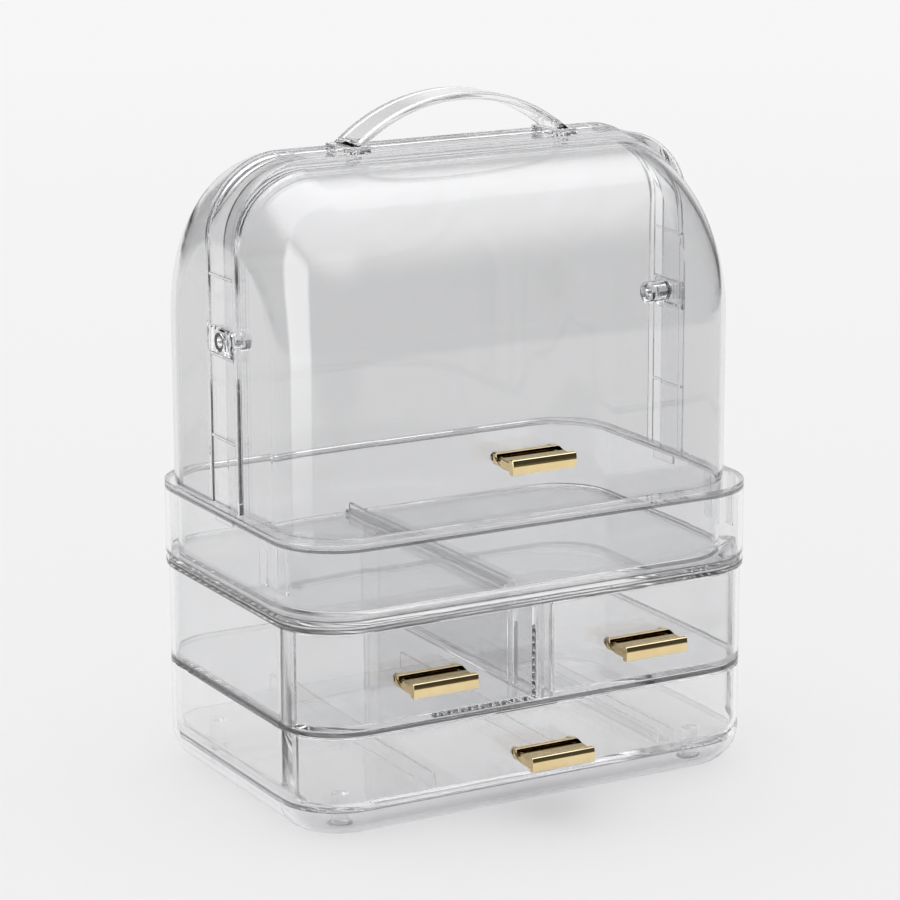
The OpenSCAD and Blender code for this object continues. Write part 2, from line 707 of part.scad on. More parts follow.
module pivot_block() color(clear) placed() difference() {
    span([channel_x, -arch_channel_w / 2 + block_gap, block_z0],
         [block_x1, arch_channel_w / 2 - block_gap, block_z0 + 2 * block_half_h]);
    translate([0, 0, z_pivot]) {
        rod(channel_x - cut, block_x1 + cut, pin_r + pin_seat);
        rod(block_x1 - pin_head_t, block_x1 + cut, pin_head_r + block_gap);
    }
    for (y = [-1, 1], k = [0 : 1])
        translate([block_x1, y * (pin_head_r + 2.6 + 3.4 * k), z_pivot]) rotate([0, 0, 45])
            cube([facet_depth * sqrt(2), facet_depth * sqrt(2), 4 * block_half_h], center = true);
    for (z = [-1, 1]) translate([block_x1, 0, z_pivot + z * block_half_h]) rotate([0, 45, 0])
        cube([facet_w, arch_w, facet_w], center = true);
}

module pivot_pin() color(clear) placed() translate([0, 0, z_pivot]) {
    rod(lid_half - lid_wall - knob_gap - knob_bore, block_x1 - pin_head_t / 2, pin_r);
    rod(block_x1 - pin_head_t, block_x1, pin_head_r);
}

module pivot_knob() color(clear) placed() translate([0, 0, z_pivot]) {
    x1 = lid_half - lid_wall - knob_gap;
    difference() {
        rod(x1 - knob_l, x1, knob_r);
        rod(x1 - knob_bore - room, x1 + cut, pin_r + pin_seat);
    }
}

module left_pivot_block() mirror([1, 0, 0]) pivot_block();
module right_pivot_block() pivot_block();
module left_pivot_pin() mirror([1, 0, 0]) pivot_pin();
module right_pivot_pin() pivot_pin();
module left_pivot_knob() mirror([1, 0, 0]) pivot_knob();
module right_pivot_knob() pivot_knob();

// ---- carry handle ----

handle_r = (pow(handle_reach, 2) + pow(handle_rise, 2)) / (2 * handle_rise);
z_handle = z_channel + handle_rise - handle_r;
dowel_x = handle_reach - handle_foot_l / 2;
z_dowel = z_pivot + arch_in_r + dowel_end;
cover_end = 1;                           // thickness of a handle's foot above its dowels

module dowel_places() {
    for (sx = [-1, 1], sy = [-1, 1]) translate([sx * dowel_x, sy * dowel_y, 0]) children();
}

// the strap's cross-section: thickness outward, width across
module strap_section() {
    translate([handle_r - handle_t / 2, 0]) plan(handle_t, handle_w, handle_edge_r);
}

module carry_handle() color(clear) placed() difference() {
    union() {
        intersection() {
            translate([0, 0, z_handle]) rotate([90, 0, 0]) rotate_extrude() strap_section();
            span([-case_w, -case_d, z_channel], [case_w, case_d, z_arch + case_d]);
        }
        for (s = [-1, 1]) translate([s * dowel_x, 0, z_channel]) linear_extrude(handle_foot_t)
            plan(handle_foot_l, handle_w, handle_edge_r);
    }
    dowel_places() translate([0, 0, z_channel - cut]) cylinder(h = handle_foot_t - cover_end + cut, r = dowel_r + dowel_seat);
}

module handle_dowels() color(clear) placed() dowel_places()
    translate([0, 0, z_dowel]) cylinder(h = z_channel + handle_foot_t - cover_end - room - z_dowel, r = dowel_r);

// ---- feet ----

module foot(sx, sy) color("white") placed()
    translate([sx * (case_w / 2 - foot_inset_x), sy * (case_d / 2 - foot_inset_y), 0]) {
        cylinder(h = foot_h, r = foot_r);
        cylinder(h = foot_h + case_wall - 2 * room, r = foot_spigot_r);
    }

module front_left_foot() foot(-1, -1);
module front_right_foot() foot(1, -1);
module rear_left_foot() foot(-1, 1);
module rear_right_foot() foot(1, 1);

base_case();
base_floor();
middle_shelf();
middle_case();
cabinet_top();
centre_divider();
bottom_drawer();
left_partition();
centre_partition();
right_partition();
left_drawer();
right_drawer();
bottom_pull();
left_pull();
right_pull();
lid_pull();
bottom_pull_screws();
left_pull_screws();
right_pull_screws();
lid_pull_screws();
upper_tub();
tray_insert();
tray_divider();
corner_peg();
arch_frame();
rear_cover();
front_lid();
left_pivot_block();
right_pivot_block();
left_pivot_pin();
right_pivot_pin();
left_pivot_knob();
right_pivot_knob();
carry_handle();
handle_dowels();
front_left_foot();
front_right_foot();
rear_left_foot();
rear_right_foot();
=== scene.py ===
# %% [markdown]
# # A clear makeup organizer with a tipping dome lid
# The object is a small cabinet of clear plastic: a wide bottom drawer, two middle drawers, a tray on
# top, and a dome whose front half tips up inside the back half. Four gold pulls are the only colour.
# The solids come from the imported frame, already in place and in metres, so nothing is fitted by eye:
# a piece either keeps the solid's own mesh or takes its place with a smoother one of the same size.

# %% Load the frame and note its box
import math
import bpy
import numpy as np
from mathutils import Matrix, Vector


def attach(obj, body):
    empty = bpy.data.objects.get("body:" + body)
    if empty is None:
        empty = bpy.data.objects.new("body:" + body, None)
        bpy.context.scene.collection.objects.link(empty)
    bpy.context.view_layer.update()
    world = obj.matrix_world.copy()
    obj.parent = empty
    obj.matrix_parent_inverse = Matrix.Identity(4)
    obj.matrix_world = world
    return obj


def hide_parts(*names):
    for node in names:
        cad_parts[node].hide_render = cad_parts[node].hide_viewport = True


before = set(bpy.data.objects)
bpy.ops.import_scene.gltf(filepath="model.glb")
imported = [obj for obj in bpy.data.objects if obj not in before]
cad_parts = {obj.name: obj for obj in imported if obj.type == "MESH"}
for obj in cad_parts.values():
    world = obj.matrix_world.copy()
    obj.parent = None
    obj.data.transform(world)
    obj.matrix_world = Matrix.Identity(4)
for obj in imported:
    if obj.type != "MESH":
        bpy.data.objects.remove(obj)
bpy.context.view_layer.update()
scene = bpy.context.scene
MM = 0.001

# %% [markdown]
# ## The camera
# The cabinet is looked at from the front left and a little above. A camera could be aimed with a
# Track To constraint. Here its axes are worked out from three angles, because a long lens well back
# keeps the upright edges parallel, and then a hair of roll or offset shows.

# %% Place the camera
CAMERA_YAW, CAMERA_PITCH, CAMERA_ROLL = math.radians(29.264), math.radians(13.93), -0.0034923
CAMERA_AIM = np.array([0.0, 9.8, 179.85])
CAMERA_BACK = 1839.73
LENS = 136.146
AIM_OFFSET = np.array([2.0138, 4.2575])


def in_scene(name, data):
    """A new object of that data, linked to the scene."""
    thing = bpy.data.objects.new(name, data)
    scene.collection.objects.link(thing)
    return thing


def camera_axes(yaw, pitch, roll):
    """Right, up and forward of a camera that stands in front and to the left, turned by yaw about Z
    and looking down by pitch, then rolled."""
    back = np.array([-math.sin(yaw) * math.cos(pitch), -math.cos(yaw) * math.cos(pitch), math.sin(pitch)])
    right = np.array([math.cos(yaw), -math.sin(yaw), 0.0])
    up = np.cross(right, -back)
    c, s = math.cos(roll), math.sin(roll)
    return c * right + s * up, -s * right + c * up, -back


def place_camera():
    """Stands the camera so that the aim point lies at its offset, at its distance."""
    right, up, forward = camera_axes(CAMERA_YAW, CAMERA_PITCH, CAMERA_ROLL)
    stand = CAMERA_AIM - right * AIM_OFFSET[0] - up * AIM_OFFSET[1] - forward * CAMERA_BACK
    data = bpy.data.cameras.new("organizer_camera")
    data.lens, data.sensor_width = LENS, 36.0
    data.clip_start, data.clip_end = 0.05, 60.0
    camera = in_scene("organizer_camera", data)
    matrix = np.eye(4)
    matrix[:3] = np.stack([right, up, -forward, stand * MM], 1)
    camera.matrix_world = Matrix(matrix.tolist())
    scene.camera = camera
    print("camera stands at", (stand * MM).round(3))


place_camera()

# %% [markdown]
# ## Tools for nodes
# The room, the table and every finish are node trees. They could be wired by hand in the editor. A
# few helpers make each common step one line instead, so a finish reads like a recipe.

# %% Make node tools
def empty_tree(owner):
    """The node tree of a material or a world, with nothing in it yet."""
    owner.use_nodes = True
    owner.node_tree.nodes.clear()
    return owner.node_tree


def new_material(name):
    """A material and its empty node tree."""
    material = bpy.data.materials.new(name)
    return material, empty_tree(material)


def add(tree, kind, *values, **settings):
    """A node of that kind. The settings go to its properties or its named inputs, and the values to its
    inputs in order. A socket among them is wired to its input."""
    node = tree.nodes.new(kind)
    inputs = dict(enumerate(values))
    for key, v in settings.items():
        if hasattr(node, key):
            setattr(node, key, v)
        else:
            inputs[key.replace("_", " ")] = v
    for key, v in inputs.items():
        if isinstance(v, bpy.types.NodeSocket):
            tree.links.new(v, node.inputs[key])
        else:
            node.inputs[key].default_value = v
    return node


def value(tree, operation, *terms):
    """A Math node on sockets or numbers."""
    return add(tree, "ShaderNodeMath", *terms, operation=operation).outputs[0]


def ramp_of(tree, fac, stops):
    """A colour ramp with a grey or a colour at each of its places, which rise."""
    node = add(tree, "ShaderNodeValToRGB", fac)
    marks = node.color_ramp.elements
    marks[0].position, marks[1].position = stops[0][0], stops[-1][0]
    for place, _ in stops[1:-1]:
        marks.new(place)
    for mark, (_, v) in zip(marks, stops):
        mark.color = (*v, 1) if isinstance(v, tuple) else (v, v, v, 1)
    return node.outputs["Color"]


def own_place(tree):
    """Where a point lies in the space of its own object."""
    return add(tree, "ShaderNodeTexCoord").outputs["Object"]


print("tools that add nodes ready")


# %% Make tools that measure and mix
def toward(tree, where, direction):
    """The dot product with a direction: how far a place lies, or a ray points, along it."""
    return add(tree, "ShaderNodeVectorMath", where, direction, operation="DOT_PRODUCT").outputs["Value"]


def between(tree, socket, low, high):
    """0 below low, 1 above high, and a straight line between."""
    return add(tree, "ShaderNodeMapRange", socket, low, high).outputs["Result"]


def blended(tree, share, a, b, blend_type="MIX"):
    """Colour a turning into colour b, or into their blend, as share goes from 0 to 1."""
    node = add(tree, "ShaderNodeMix", share, data_type="RGBA", blend_type=blend_type)
    for colour, socket in zip((a, b), node.inputs[6:8]):
        tree.links.new(colour, socket)
    return node.outputs[2]


print("tools that measure and mix ready")

# %% [markdown]
# ## The room
# Clear plastic shows little but the room round it. It is lit evenly on a pale table, with dark screens
# beside it so that its edges draw themselves as grey lines, and a broad lamp overhead for the bright
# streaks. Lamps and screens could be modelled one by one. A room painted by height and direction
# gives the same reflections with less noise, and only mirrored and bent rays see it: everything else
# gets a plain even light, at which a colour looks as it is written.

# %% Light the room
ROOM_LEVEL = 0.96                   # the plain light, where 1 is white
SIDE_OF_TOP = (0, 0.99, -0.14)      # what lies past this plane is behind the object
PAST_TOP = (-0.012, 0.012)          # from where the front ramp gives way to the back one, to where it has
BACKDROP_EDGE = (0.80, 0.92)        # how squarely behind the object the pale wall begins and is full
ROOM_FRONT = [(0.0, 0.16), (0.08, 0.06), (0.2, 0.05), (0.58, 0.06), (0.66, 0.4), (0.73, 1.1), (0.79, 1.9),
              (0.84, 2.5), (1.0, 2.7)]
OVERHEAD = [(0.62, 0.6), (0.7, 1.9), (0.8, 3.0), (1.0, 3.5)]
ROOM_BACK = [(0.0, 0.15), (0.06, 0.10), (0.12, 0.06), (0.2, 0.04), (0.5, 0.04), *OVERHEAD]
BACKDROP = [(0.0, 0.9), (0.20, 0.86), (0.28, 0.80), (0.40, 0.25), (0.5, 0.06), *OVERHEAD]
AWAY = (math.sin(CAMERA_YAW), math.cos(CAMERA_YAW), 0)


def room():
    """The world. Each ramp gives the brightness by height, from the horizon at 0 to straight up at 1:
    one for the front, one for the back, and one for the pale wall that stands behind the object."""
    scene.world = bpy.data.worlds.new("studio_room")
    tree = empty_tree(scene.world)
    where = add(tree, "ShaderNodeTexCoord").outputs["Generated"]
    height = toward(tree, where, (0, 0, 1))
    squarely = between(tree, toward(tree, where, AWAY), *BACKDROP_EDGE)
    rear = blended(tree, squarely, ramp_of(tree, height, ROOM_BACK), ramp_of(tree, height, BACKDROP))
    past_top = between(tree, toward(tree, where, SIDE_OF_TOP), *PAST_TOP)
    studio = add(tree, "ShaderNodeBackground", blended(tree, past_top, ramp_of(tree, height, ROOM_FRONT), rear))
    plain = add(tree, "ShaderNodeBackground", (1, 1, 1, 1), ROOM_LEVEL)
    path = add(tree, "ShaderNodeLightPath").outputs
    mirrored = value(tree, "MAXIMUM", path["Is Glossy Ray"], path["Is Transmission Ray"])
    mix = add(tree, "ShaderNodeMixShader", mirrored, plain.outputs[0], studio.outputs[0])
    add(tree, "ShaderNodeOutputWorld", mix.outputs[0])
    print("room painted in", len(tree.nodes), "nodes")


room()

# %% [markdown]
# ## The soft sun
# The room alone would leave the object floating. One weak, very broad sun, from behind and the left,
# gives the table its faint shadow. It is left out of mirrored rays, where it would show as a spot.

# %% Hang the soft sun
def soft_sun(name, towards, level, spread):
    """Broad parallel light for the table's faint shadow."""
    data = bpy.data.lights.new(name, "SUN")
    data.energy, data.angle = level, math.radians(spread)
    lamp = in_scene(name, data)
    lamp.rotation_euler = Vector(towards).to_track_quat("-Z", "Y").to_euler()
    lamp.visible_glossy = lamp.visible_transmission = False
    print(name, "shines at", level)


soft_sun("soft_sun", towards=(0.45, 0.75, -1.0), level=0.25, spread=60)

# %% [markdown]
# ## The table
# The object stands on a plain pale table that runs on past the view, so it needs no backdrop of its
# own. A curved sweep would do too, but a flat plane keeps the horizon's tone even from every side. Its
# far parts are dimmed for mirrored rays, as if the cloth ended there, or the lower edges of the
# clear walls would mirror white and vanish.

# %% Lay the table
TABLE_HALF, TABLE_REACH = 12.0, 3.0                # metres: half its width, and the length its ramps cover
TABLE_PAINTED_SHADE = [(0.0, 0.862), (1.0, 0.905)]         # painted shade: darker near the middle, by distance from it
TABLE_SIDES = (0.45, 0.6)
TABLE_END = [(0.0, 1.0), (0.29, 1.0), (0.32, 0.9), (0.35, 0.6), (0.40, 0.42), (0.6, 0.3), (1.0, 0.2)]
TABLE_DIM = [(0.0, 0.1), (1.0, 0.1)]


def flat_sheet(name, corners):
    """A flat sheet with those four corners, in the scene."""
    mesh = bpy.data.meshes.new(name)
    mesh.from_pydata(corners, [], [[0, 1, 2, 3]])
    return in_scene(name, mesh)


def studio_table():
    """A flat square under the feet. Its paint is a ramp on the distance from the middle over the reach,
    a painted shade that is darker near the middle.
    For mirrored rays it is multiplied by a ramp on how far toward the camera's side the place lies,
    which gives way to the dim one between the two shares of the reach in TABLE_SIDES, left and right."""
    h = TABLE_HALF
    table = flat_sheet("studio_table", [(-h, -h, 0), (h, -h, 0), (h, h, 0), (-h, h, 0)])
    material, tree = new_material("studio_table_paint")
    where = own_place(tree)
    reach = add(tree, "ShaderNodeVectorMath", where, operation="LENGTH").outputs["Value"]
    paint = ramp_of(tree, value(tree, "DIVIDE", reach, TABLE_REACH), TABLE_PAINTED_SHADE)
    near = toward(tree, where, (-AWAY[0] / TABLE_REACH, -AWAY[1] / TABLE_REACH, 0))
    aside = value(tree, "ABSOLUTE", toward(tree, where, (AWAY[1] / TABLE_REACH, -AWAY[0] / TABLE_REACH, 0)))
    end = blended(tree, between(tree, aside, *TABLE_SIDES),
                  ramp_of(tree, near, TABLE_END), ramp_of(tree, aside, TABLE_DIM))
    mirrored = add(tree, "ShaderNodeLightPath").outputs["Is Glossy Ray"]
    matt = add(tree, "ShaderNodeBsdfDiffuse", blended(tree, mirrored, paint, end, "MULTIPLY"))
    add(tree, "ShaderNodeOutputMaterial", matt.outputs["BSDF"])
    table.data.materials.append(material)
    print("table", 2 * TABLE_HALF, "m wide")


studio_table()

# %% [markdown]
# ## The soft card
# The lid's rounded left corner carries one upright bright strip. A softbox stands there in a studio.
# An area lamp would light the table as well, so a glowing card that only gloss sees is used, fading
# toward its edges as a softbox does.

# %% Stand the soft card
def mirror_card(name, x, y, z, level):
    """An upright glowing card at x, between two y and two z. Its glow is the level, times for each of its
    two axes a straight fall from the share of its half-width that stays full down to its edge."""
    card = flat_sheet(name, [(x, y[0], z[0]), (x, y[1], z[0]), (x, y[1], z[1]), (x, y[0], z[1])])
    material, tree = new_material(name)
    place = add(tree, "ShaderNodeSeparateXYZ", own_place(tree)).outputs
    falls = []
    for axis, (low, high), full in (("Y", y, 0.75), ("Z", z, 0.6)):
        out = value(tree, "ABSOLUTE", value(tree, "SUBTRACT", place[axis], (low + high) / 2))
        falls.append(between(tree, out, (high - low) / 2, (high - low) / 2 * full))
    glow = value(tree, "MULTIPLY", value(tree, "MULTIPLY", *falls), level)
    add(tree, "ShaderNodeOutputMaterial", add(tree, "ShaderNodeEmission", Strength=glow).outputs[0])
    card.data.materials.append(material)
    card.visible_camera = card.visible_diffuse = card.visible_transmission = card.visible_shadow = False
    print(name, "glows at", level)


mirror_card("left_card", x=-0.6, y=(-0.27, 0.09), z=(0.0, 0.85), level=6.0)

# %% [markdown]
# ## Patterns for the finishes
# Real mouldings are never quite even. A slow noise on the object's own coordinates varies the tint, and
# a Bump node turns the same noise into shallow waves. An image could hold such a pattern, but noise
# needs no unwrapping and stays sharp at any distance.

# %% Make the patterns
def grain(tree, scale, detail=2.0, stretch=None):
    """Noise of the object's own place, from 0 to 1; stretch draws it out along the axes."""
    where = own_place(tree)
    if stretch:
        where = add(tree, "ShaderNodeVectorMath", where, stretch, operation="MULTIPLY").outputs[0]
    return add(tree, "ShaderNodeTexNoise", Vector=where, Scale=scale, Detail=detail).outputs[0]


def coloured(tree, fac, low, high):
    """A colour between two, by a noise from 0 to 1."""
    return ramp_of(tree, fac, [(0.3, low), (0.7, high)])


def waves(tree, height, distance, strength):
    """A Bump normal from a height."""
    return add(tree, "ShaderNodeBump", Height=height, Distance=distance, Strength=strength).outputs["Normal"]


def varied(tree, fac, colour, low=0.97):
    """A colour that a noise varies, from low times it up to itself."""
    return coloured(tree, fac, tuple(low * v for v in colour), colour)


print("patterns ready")

# %% [markdown]
# ## The clear plastic
# The walls are injection-moulded clear plastic, about as dense as glass to light. Glass BSDF alone
# looks like thin air here, because real walls are faintly grey, more so where they are seen edge-on.
# Absorption in the volume could give it, but the walls are only two millimetres thick, so a tint at
# each surface is quicker and quieter: deeper where the wall is seen edge-on. Along the moulded edges
# that the pieces mark the tint is painted shade: dark lines where light bent inside the plastic leaves
# the edges dark. Lamps and the table see through it, or it would cast the shadow of a solid block.

# %% Mix the clear plastic
PLASTIC_IOR = 1.49
WAVE_SCALE, WAVE_HEIGHT, WAVE_STRENGTH = 22.0, 0.0003, 0.12
EDGE_ON = (0.80, 1.0)               # how steeply a wall is seen where the edge tint starts and is full
# painted shade: the dark tint of the lines along the moulded edges that the pieces mark
RIM_PAINTED_SHADE = (0.14, 0.14, 0.147)
EVEN = 0.988                        # how little the noise varies the walls' tint
SHADE_STRIP_Z, SHADE_STRIP_Y = (0.019, 0.009), (-0.060, -0.068)   # where the painted shade along the lower front starts and is full


def clear_plastic(name, tint, shade=(0.99, 0.99, 0.991), rough=0.0, edge=0.5, strip=None):
    """Moulded clear plastic: glass to the eye, a faint shade to the lamps. The tint is multiplied by
    edge where the wall is seen edge-on. It goes to the painted shade of the edge lines where the piece's
    attribute rim is 1, and to the painted shade strip along the lower front."""
    material, tree = new_material(name)
    slow = grain(tree, WAVE_SCALE)
    facing = add(tree, "ShaderNodeLayerWeight", Blend=0.5).outputs["Facing"]
    tinted = blended(tree, between(tree, facing, *EDGE_ON), varied(tree, slow, tint, EVEN),
                     varied(tree, slow, tuple(edge * v for v in tint), EVEN))
    # painted shade: the tint darkens toward the strip along the base's lower front
    if strip:
        place = add(tree, "ShaderNodeSeparateXYZ", own_place(tree)).outputs
        low, front = between(tree, place["Z"], *SHADE_STRIP_Z), between(tree, place["Y"], *SHADE_STRIP_Y)
        shaded_low_front = value(tree, "MULTIPLY", low, front)
        tinted = blended(tree, shaded_low_front, tinted, varied(tree, slow, strip))
    rim = add(tree, "ShaderNodeAttribute", attribute_name="rim").outputs["Fac"]
    glass = add(tree, "ShaderNodeBsdfPrincipled", Roughness=rough, IOR=PLASTIC_IOR, Transmission_Weight=1.0,
                Base_Color=blended(tree, rim, tinted, varied(tree, slow, RIM_PAINTED_SHADE, 0.9)),
                Normal=waves(tree, slow, WAVE_HEIGHT, WAVE_STRENGTH))
    veil = add(tree, "ShaderNodeBsdfTransparent", (*shade, 1))
    path = add(tree, "ShaderNodeLightPath").outputs
    unseen = value(tree, "MAXIMUM", path["Is Shadow Ray"], path["Is Diffuse Ray"])
    mix = add(tree, "ShaderNodeMixShader", unseen, glass.outputs["BSDF"], veil.outputs["BSDF"])
    add(tree, "ShaderNodeOutputMaterial", mix.outputs[0])
    print(name, "mixed")
    return material


CLEAR = clear_plastic("clear_plastic_wall", (0.962, 0.963, 0.967))
FLOORS = clear_plastic("clear_plastic_floor", (1.0, 1.0, 1.0), edge=0.8)
DOME = clear_plastic("clear_plastic_dome", (0.832, 0.833, 0.839))
# the base's strip is painted shade along its lower front
BASE = clear_plastic("clear_plastic_base", (0.98, 0.98, 0.984), (0.965, 0.965, 0.968), edge=0.4,
                     strip=(0.78, 0.78, 0.79))

# %% [markdown]
# ## The clear feet
# Four small feet of clear silicone carry the base. Silicone is softer to the eye than the walls, so it
# is the same recipe with a matt surface, rather than a rubber of its own.

# %% Mix the clear silicone
FOOT = clear_plastic("clear_silicone_foot", (1.0, 1.0, 1.0), rough=0.4, edge=0.9)

# %% [markdown]
# ## The metals
# The pulls are cast metal with a polished pale gold coat, and small steel screws hold them from inside.
# A plain metallic shader looks like a mirror. Real polish leaves fine marks, which vary the gloss and
# are raised by a Bump, drawn out along the pull. The slot behind the tread lies in shade, so the mesh
# marks it and painted shade turns the coat dark and brown there.

# %% Mix the metals
POLISH_SCALE, POLISH_HEIGHT, POLISH_STRENGTH = 1400.0, 0.00002, 0.15
RECESS_SHADE_CONTRAST = 1.6                 # how much paler the pale grains of the painted shade in the slot are


def metal(name, low, high, rough, scale, stretch=None, deep=None):
    """A polished metal: its colour goes from low to high with a slow noise, its roughness between the two
    of rough with a fine one, which also raises it. Where the piece's attribute recess is 1, the colour is
    deep, a painted shade."""
    material, tree = new_material(name)
    slow, fine = grain(tree, scale), grain(tree, POLISH_SCALE, 3.0, stretch)
    colour = coloured(tree, slow, low, high)
    if deep:
        recess = add(tree, "ShaderNodeAttribute", attribute_name="recess").outputs["Fac"]
        paler = tuple(RECESS_SHADE_CONTRAST * v for v in deep)
        colour = blended(tree, recess, colour, coloured(tree, fine, deep, paler))
    gloss = add(tree, "ShaderNodeMapRange", fine, To_Min=rough[0], To_Max=rough[1]).outputs["Result"]
    body = add(tree, "ShaderNodeBsdfPrincipled", Metallic=1.0, Base_Color=colour, Roughness=gloss,
               Normal=waves(tree, fine, POLISH_HEIGHT, POLISH_STRENGTH))
    add(tree, "ShaderNodeOutputMaterial", body.outputs["BSDF"])
    print(name, "mixed")
    return material


# deep is the painted shade in the pulls' slot
GOLD = metal("polished_gold", (0.83, 0.65, 0.35), (0.89, 0.72, 0.42), rough=(0.04, 0.09), scale=90.0,
             stretch=(0.08, 1.0, 1.0), deep=(0.075, 0.045, 0.018))
STEEL = metal("screw_steel_polished", (0.66, 0.66, 0.67), (0.78, 0.78, 0.79), rough=(0.12, 0.24), scale=300.0)

# %% [markdown]
# ## Finishes for the frame's own parts
# The lid, the rear cover, the base, the pivots, the screws and the feet keep their solid's own mesh.
# Each has a named slot, so its finish is handed to it by that name. Three large shells get mixes of
# their own: the lid and the rear cover a darker grey, the base one with painted shade along its lower front.

# %% Hand out the finishes
finishes = {"clear_plastic": CLEAR, "gold_metal": GOLD, "screw_steel": STEEL, "foot_rubber": FOOT}
for name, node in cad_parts.items():
    for slot in node.material_slots:
        for key, material in finishes.items():
            if slot.material and slot.material.name.startswith(key):
                slot.material = material
for name, material in (("front_lid", DOME), ("rear_cover", DOME), ("base_case", BASE)):
    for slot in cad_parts[name].material_slots:
        slot.material = material
print("finishes", [m.name for m in (CLEAR, FLOORS, DOME, BASE, FOOT, GOLD, STEEL)])

# %% [markdown]
# ## Tools for the moulded shapes
# Every clear part is a thin moulded wall with softly rounded edges. One way is to bevel solids; here a
# side view with its corners rounded is carried round an outline instead, which keeps the facets
# even and gives each point its exact normal, so the clear walls don't ripple.

# %% Round the corners of a line
def unit(v):
    """Vectors over their length."""
    return v / np.linalg.norm(v, axis=-1, keepdims=True)


def stacked(*parts):
    """Arrays side by side on a new last axis, as x, y and z become points. A number fills its column."""
    return np.stack(np.broadcast_arrays(*parts), -1)


def filleted(corners, radii, steps, closed=False):
    """Rounds the corners of a line in the plane. Each corner becomes an arc of its radius, tangent to
    both sides: it starts radius / tan(half the angle) before the corner, and its direction turns
    evenly from the first side's to the second's. Returns the points and their directions."""
    p = np.asarray(corners, float)
    r = np.broadcast_to(np.asarray(radii, float), (len(p),)).copy()
    before, after = np.roll(p, 1, 0) - p, np.roll(p, -1, 0) - p
    if not closed:
        before[0], after[-1] = -after[0], -before[-1]
        r[0] = r[-1] = 0.0
    a, b = unit(before), unit(after)
    turn = np.arctan2(-a[:, 0] * b[:, 1] + a[:, 1] * b[:, 0], (-a * b).sum(1))
    start = p + a * (r * np.abs(np.tan(turn / 2)))[:, None]
    k = np.linspace(0, 1, steps)[None, :] * turn[:, None]
    c, s = np.cos(k), np.sin(k)
    d = stacked(-a[:, :1] * c + a[:, 1:] * s, -a[:, 1:] * c - a[:, :1] * s)
    left = stacked(-d[..., 1], d[..., 0])
    side = np.sign(turn)[:, None, None] * r[:, None, None]
    points = start[:, None, :] + side * left[:, :1] - side * left
    points, d = points.reshape(-1, 2), d.reshape(-1, 2)
    if not closed:
        points, d = points[steps - 1:1 - steps or None], d[steps - 1:1 - steps or None]
    return points, d


print("a square's corners rounded:", len(filleted([(0, 0), (1, 0), (1, 1), (0, 1)], 0.2, 5, True)[0]), "points")


# %% Draw the side view of a wall
def rim_view(z0, z1, edge, inward=0.01, steps=5):
    """The side view of an upright wall's outside from z0 to z1: its edges rounded, and its faces going
    inward by a little more than the edge."""
    deep = -edge - inward
    return filleted([(deep, z0), (0, z0), (0, z1), (deep, z1)], edge, steps)


def with_rows(places, d, at, outward, heights, way=1.0):
    """A side view with more points on an upright part of it, which runs up, or down where way is -1."""
    return (np.insert(places, at, [(outward, z) for z in heights], 0),
            np.insert(d, at, [(0.0, way)] * len(heights), 0))


def right_of(d):
    """The normal to the right of each direction: outward, on an outline that runs anticlockwise."""
    return stacked(d[:, 1], -d[:, 0])


print("a wall's side view:", len(rim_view(0, 10, 0.5)[0]), "points")

# %% [markdown]
# ## Tools that carry a side view
# A lathe turns a side view round an axis, and the Screw modifier does that. These parts aren't round:
# their plan is a box with round corners. So the side view is carried round a plan that grows or
# shrinks with each of its points, which keeps the wall as thick at the corners as at the sides.

# %% Carry a side view round an outline
def smooth_mesh(name, points, faces, normals):
    """A mesh with smooth faces and a normal of its own at each point."""
    mesh = bpy.data.meshes.new(name)
    mesh.from_pydata(points.tolist(), [], faces)
    mesh.polygons.foreach_set("use_smooth", np.ones(len(mesh.polygons), bool))
    mesh.normals_split_custom_set_from_vertices(unit(normals).tolist())
    return mesh


def surface(name, points, normals, wrap=False):
    """Makes a mesh of a grid of rows of points, closed round each row. The ends are closed by flat
    faces, or joined to each other with wrap."""
    rows, n = points.shape[:2]
    i, j = np.meshgrid(np.arange(rows if wrap else rows - 1), np.arange(n), indexing="ij")
    i2, j2 = (i + 1) % rows, (j + 1) % n
    faces = stacked(i * n + j, i * n + j2, i2 * n + j2, i2 * n + j).reshape(-1, 4).tolist()
    if not wrap:
        faces += [list(range(n - 1, -1, -1)), list(range((rows - 1) * n, rows * n))]
    return smooth_mesh(name, points.reshape(-1, 3) * MM, faces, normals.reshape(-1, 3))


def grown_rows(outline, amounts):
    """The points and the normals of an outline, a row for each amount that it is grown by."""
    return map(np.stack, zip(*(outline(out) for out in amounts)))


def carried(name, outline, side, lie=None, wrap=False):
    """A moulded shape: for each point of the side view, whose places are (outward, up), the outline
    grown outward by that much, at that height. Both give their normals, and the surface's is the
    outline's times the side view's outward part, plus its upward part. lie places the result."""
    places, d = side
    n = right_of(d)
    xy, out = grown_rows(outline, places[:, 0])
    out = out * n[:, 0, None, None]
    points = stacked(xy[..., 0], xy[..., 1], places[:, 1, None])
    normals = stacked(out[..., 0], out[..., 1], n[:, 1, None])
    if lie is not None:
        points, normals = lie(points), lie(normals) - lie(np.zeros(3))
    return surface(name, points, normals, wrap)


print("tools that carry a side view ready")

# %% Join the parts of one moulding
def mark_points(mesh, name, amounts):
    """Gives a mesh an attribute: one amount for each point, which a finish reads by that name."""
    mesh.attributes.new(name, "FLOAT", "POINT").data.foreach_set("value", amounts.astype(np.float32))
    return mesh


def read_all(items, key, width=1, kind=np.float32):
    """One property of all the points, corners or faces of a mesh, as an array with that many columns."""
    values = np.zeros(len(items) * width, kind)
    items.foreach_get(key, values)
    return values.reshape(-1, width) if width > 1 else values


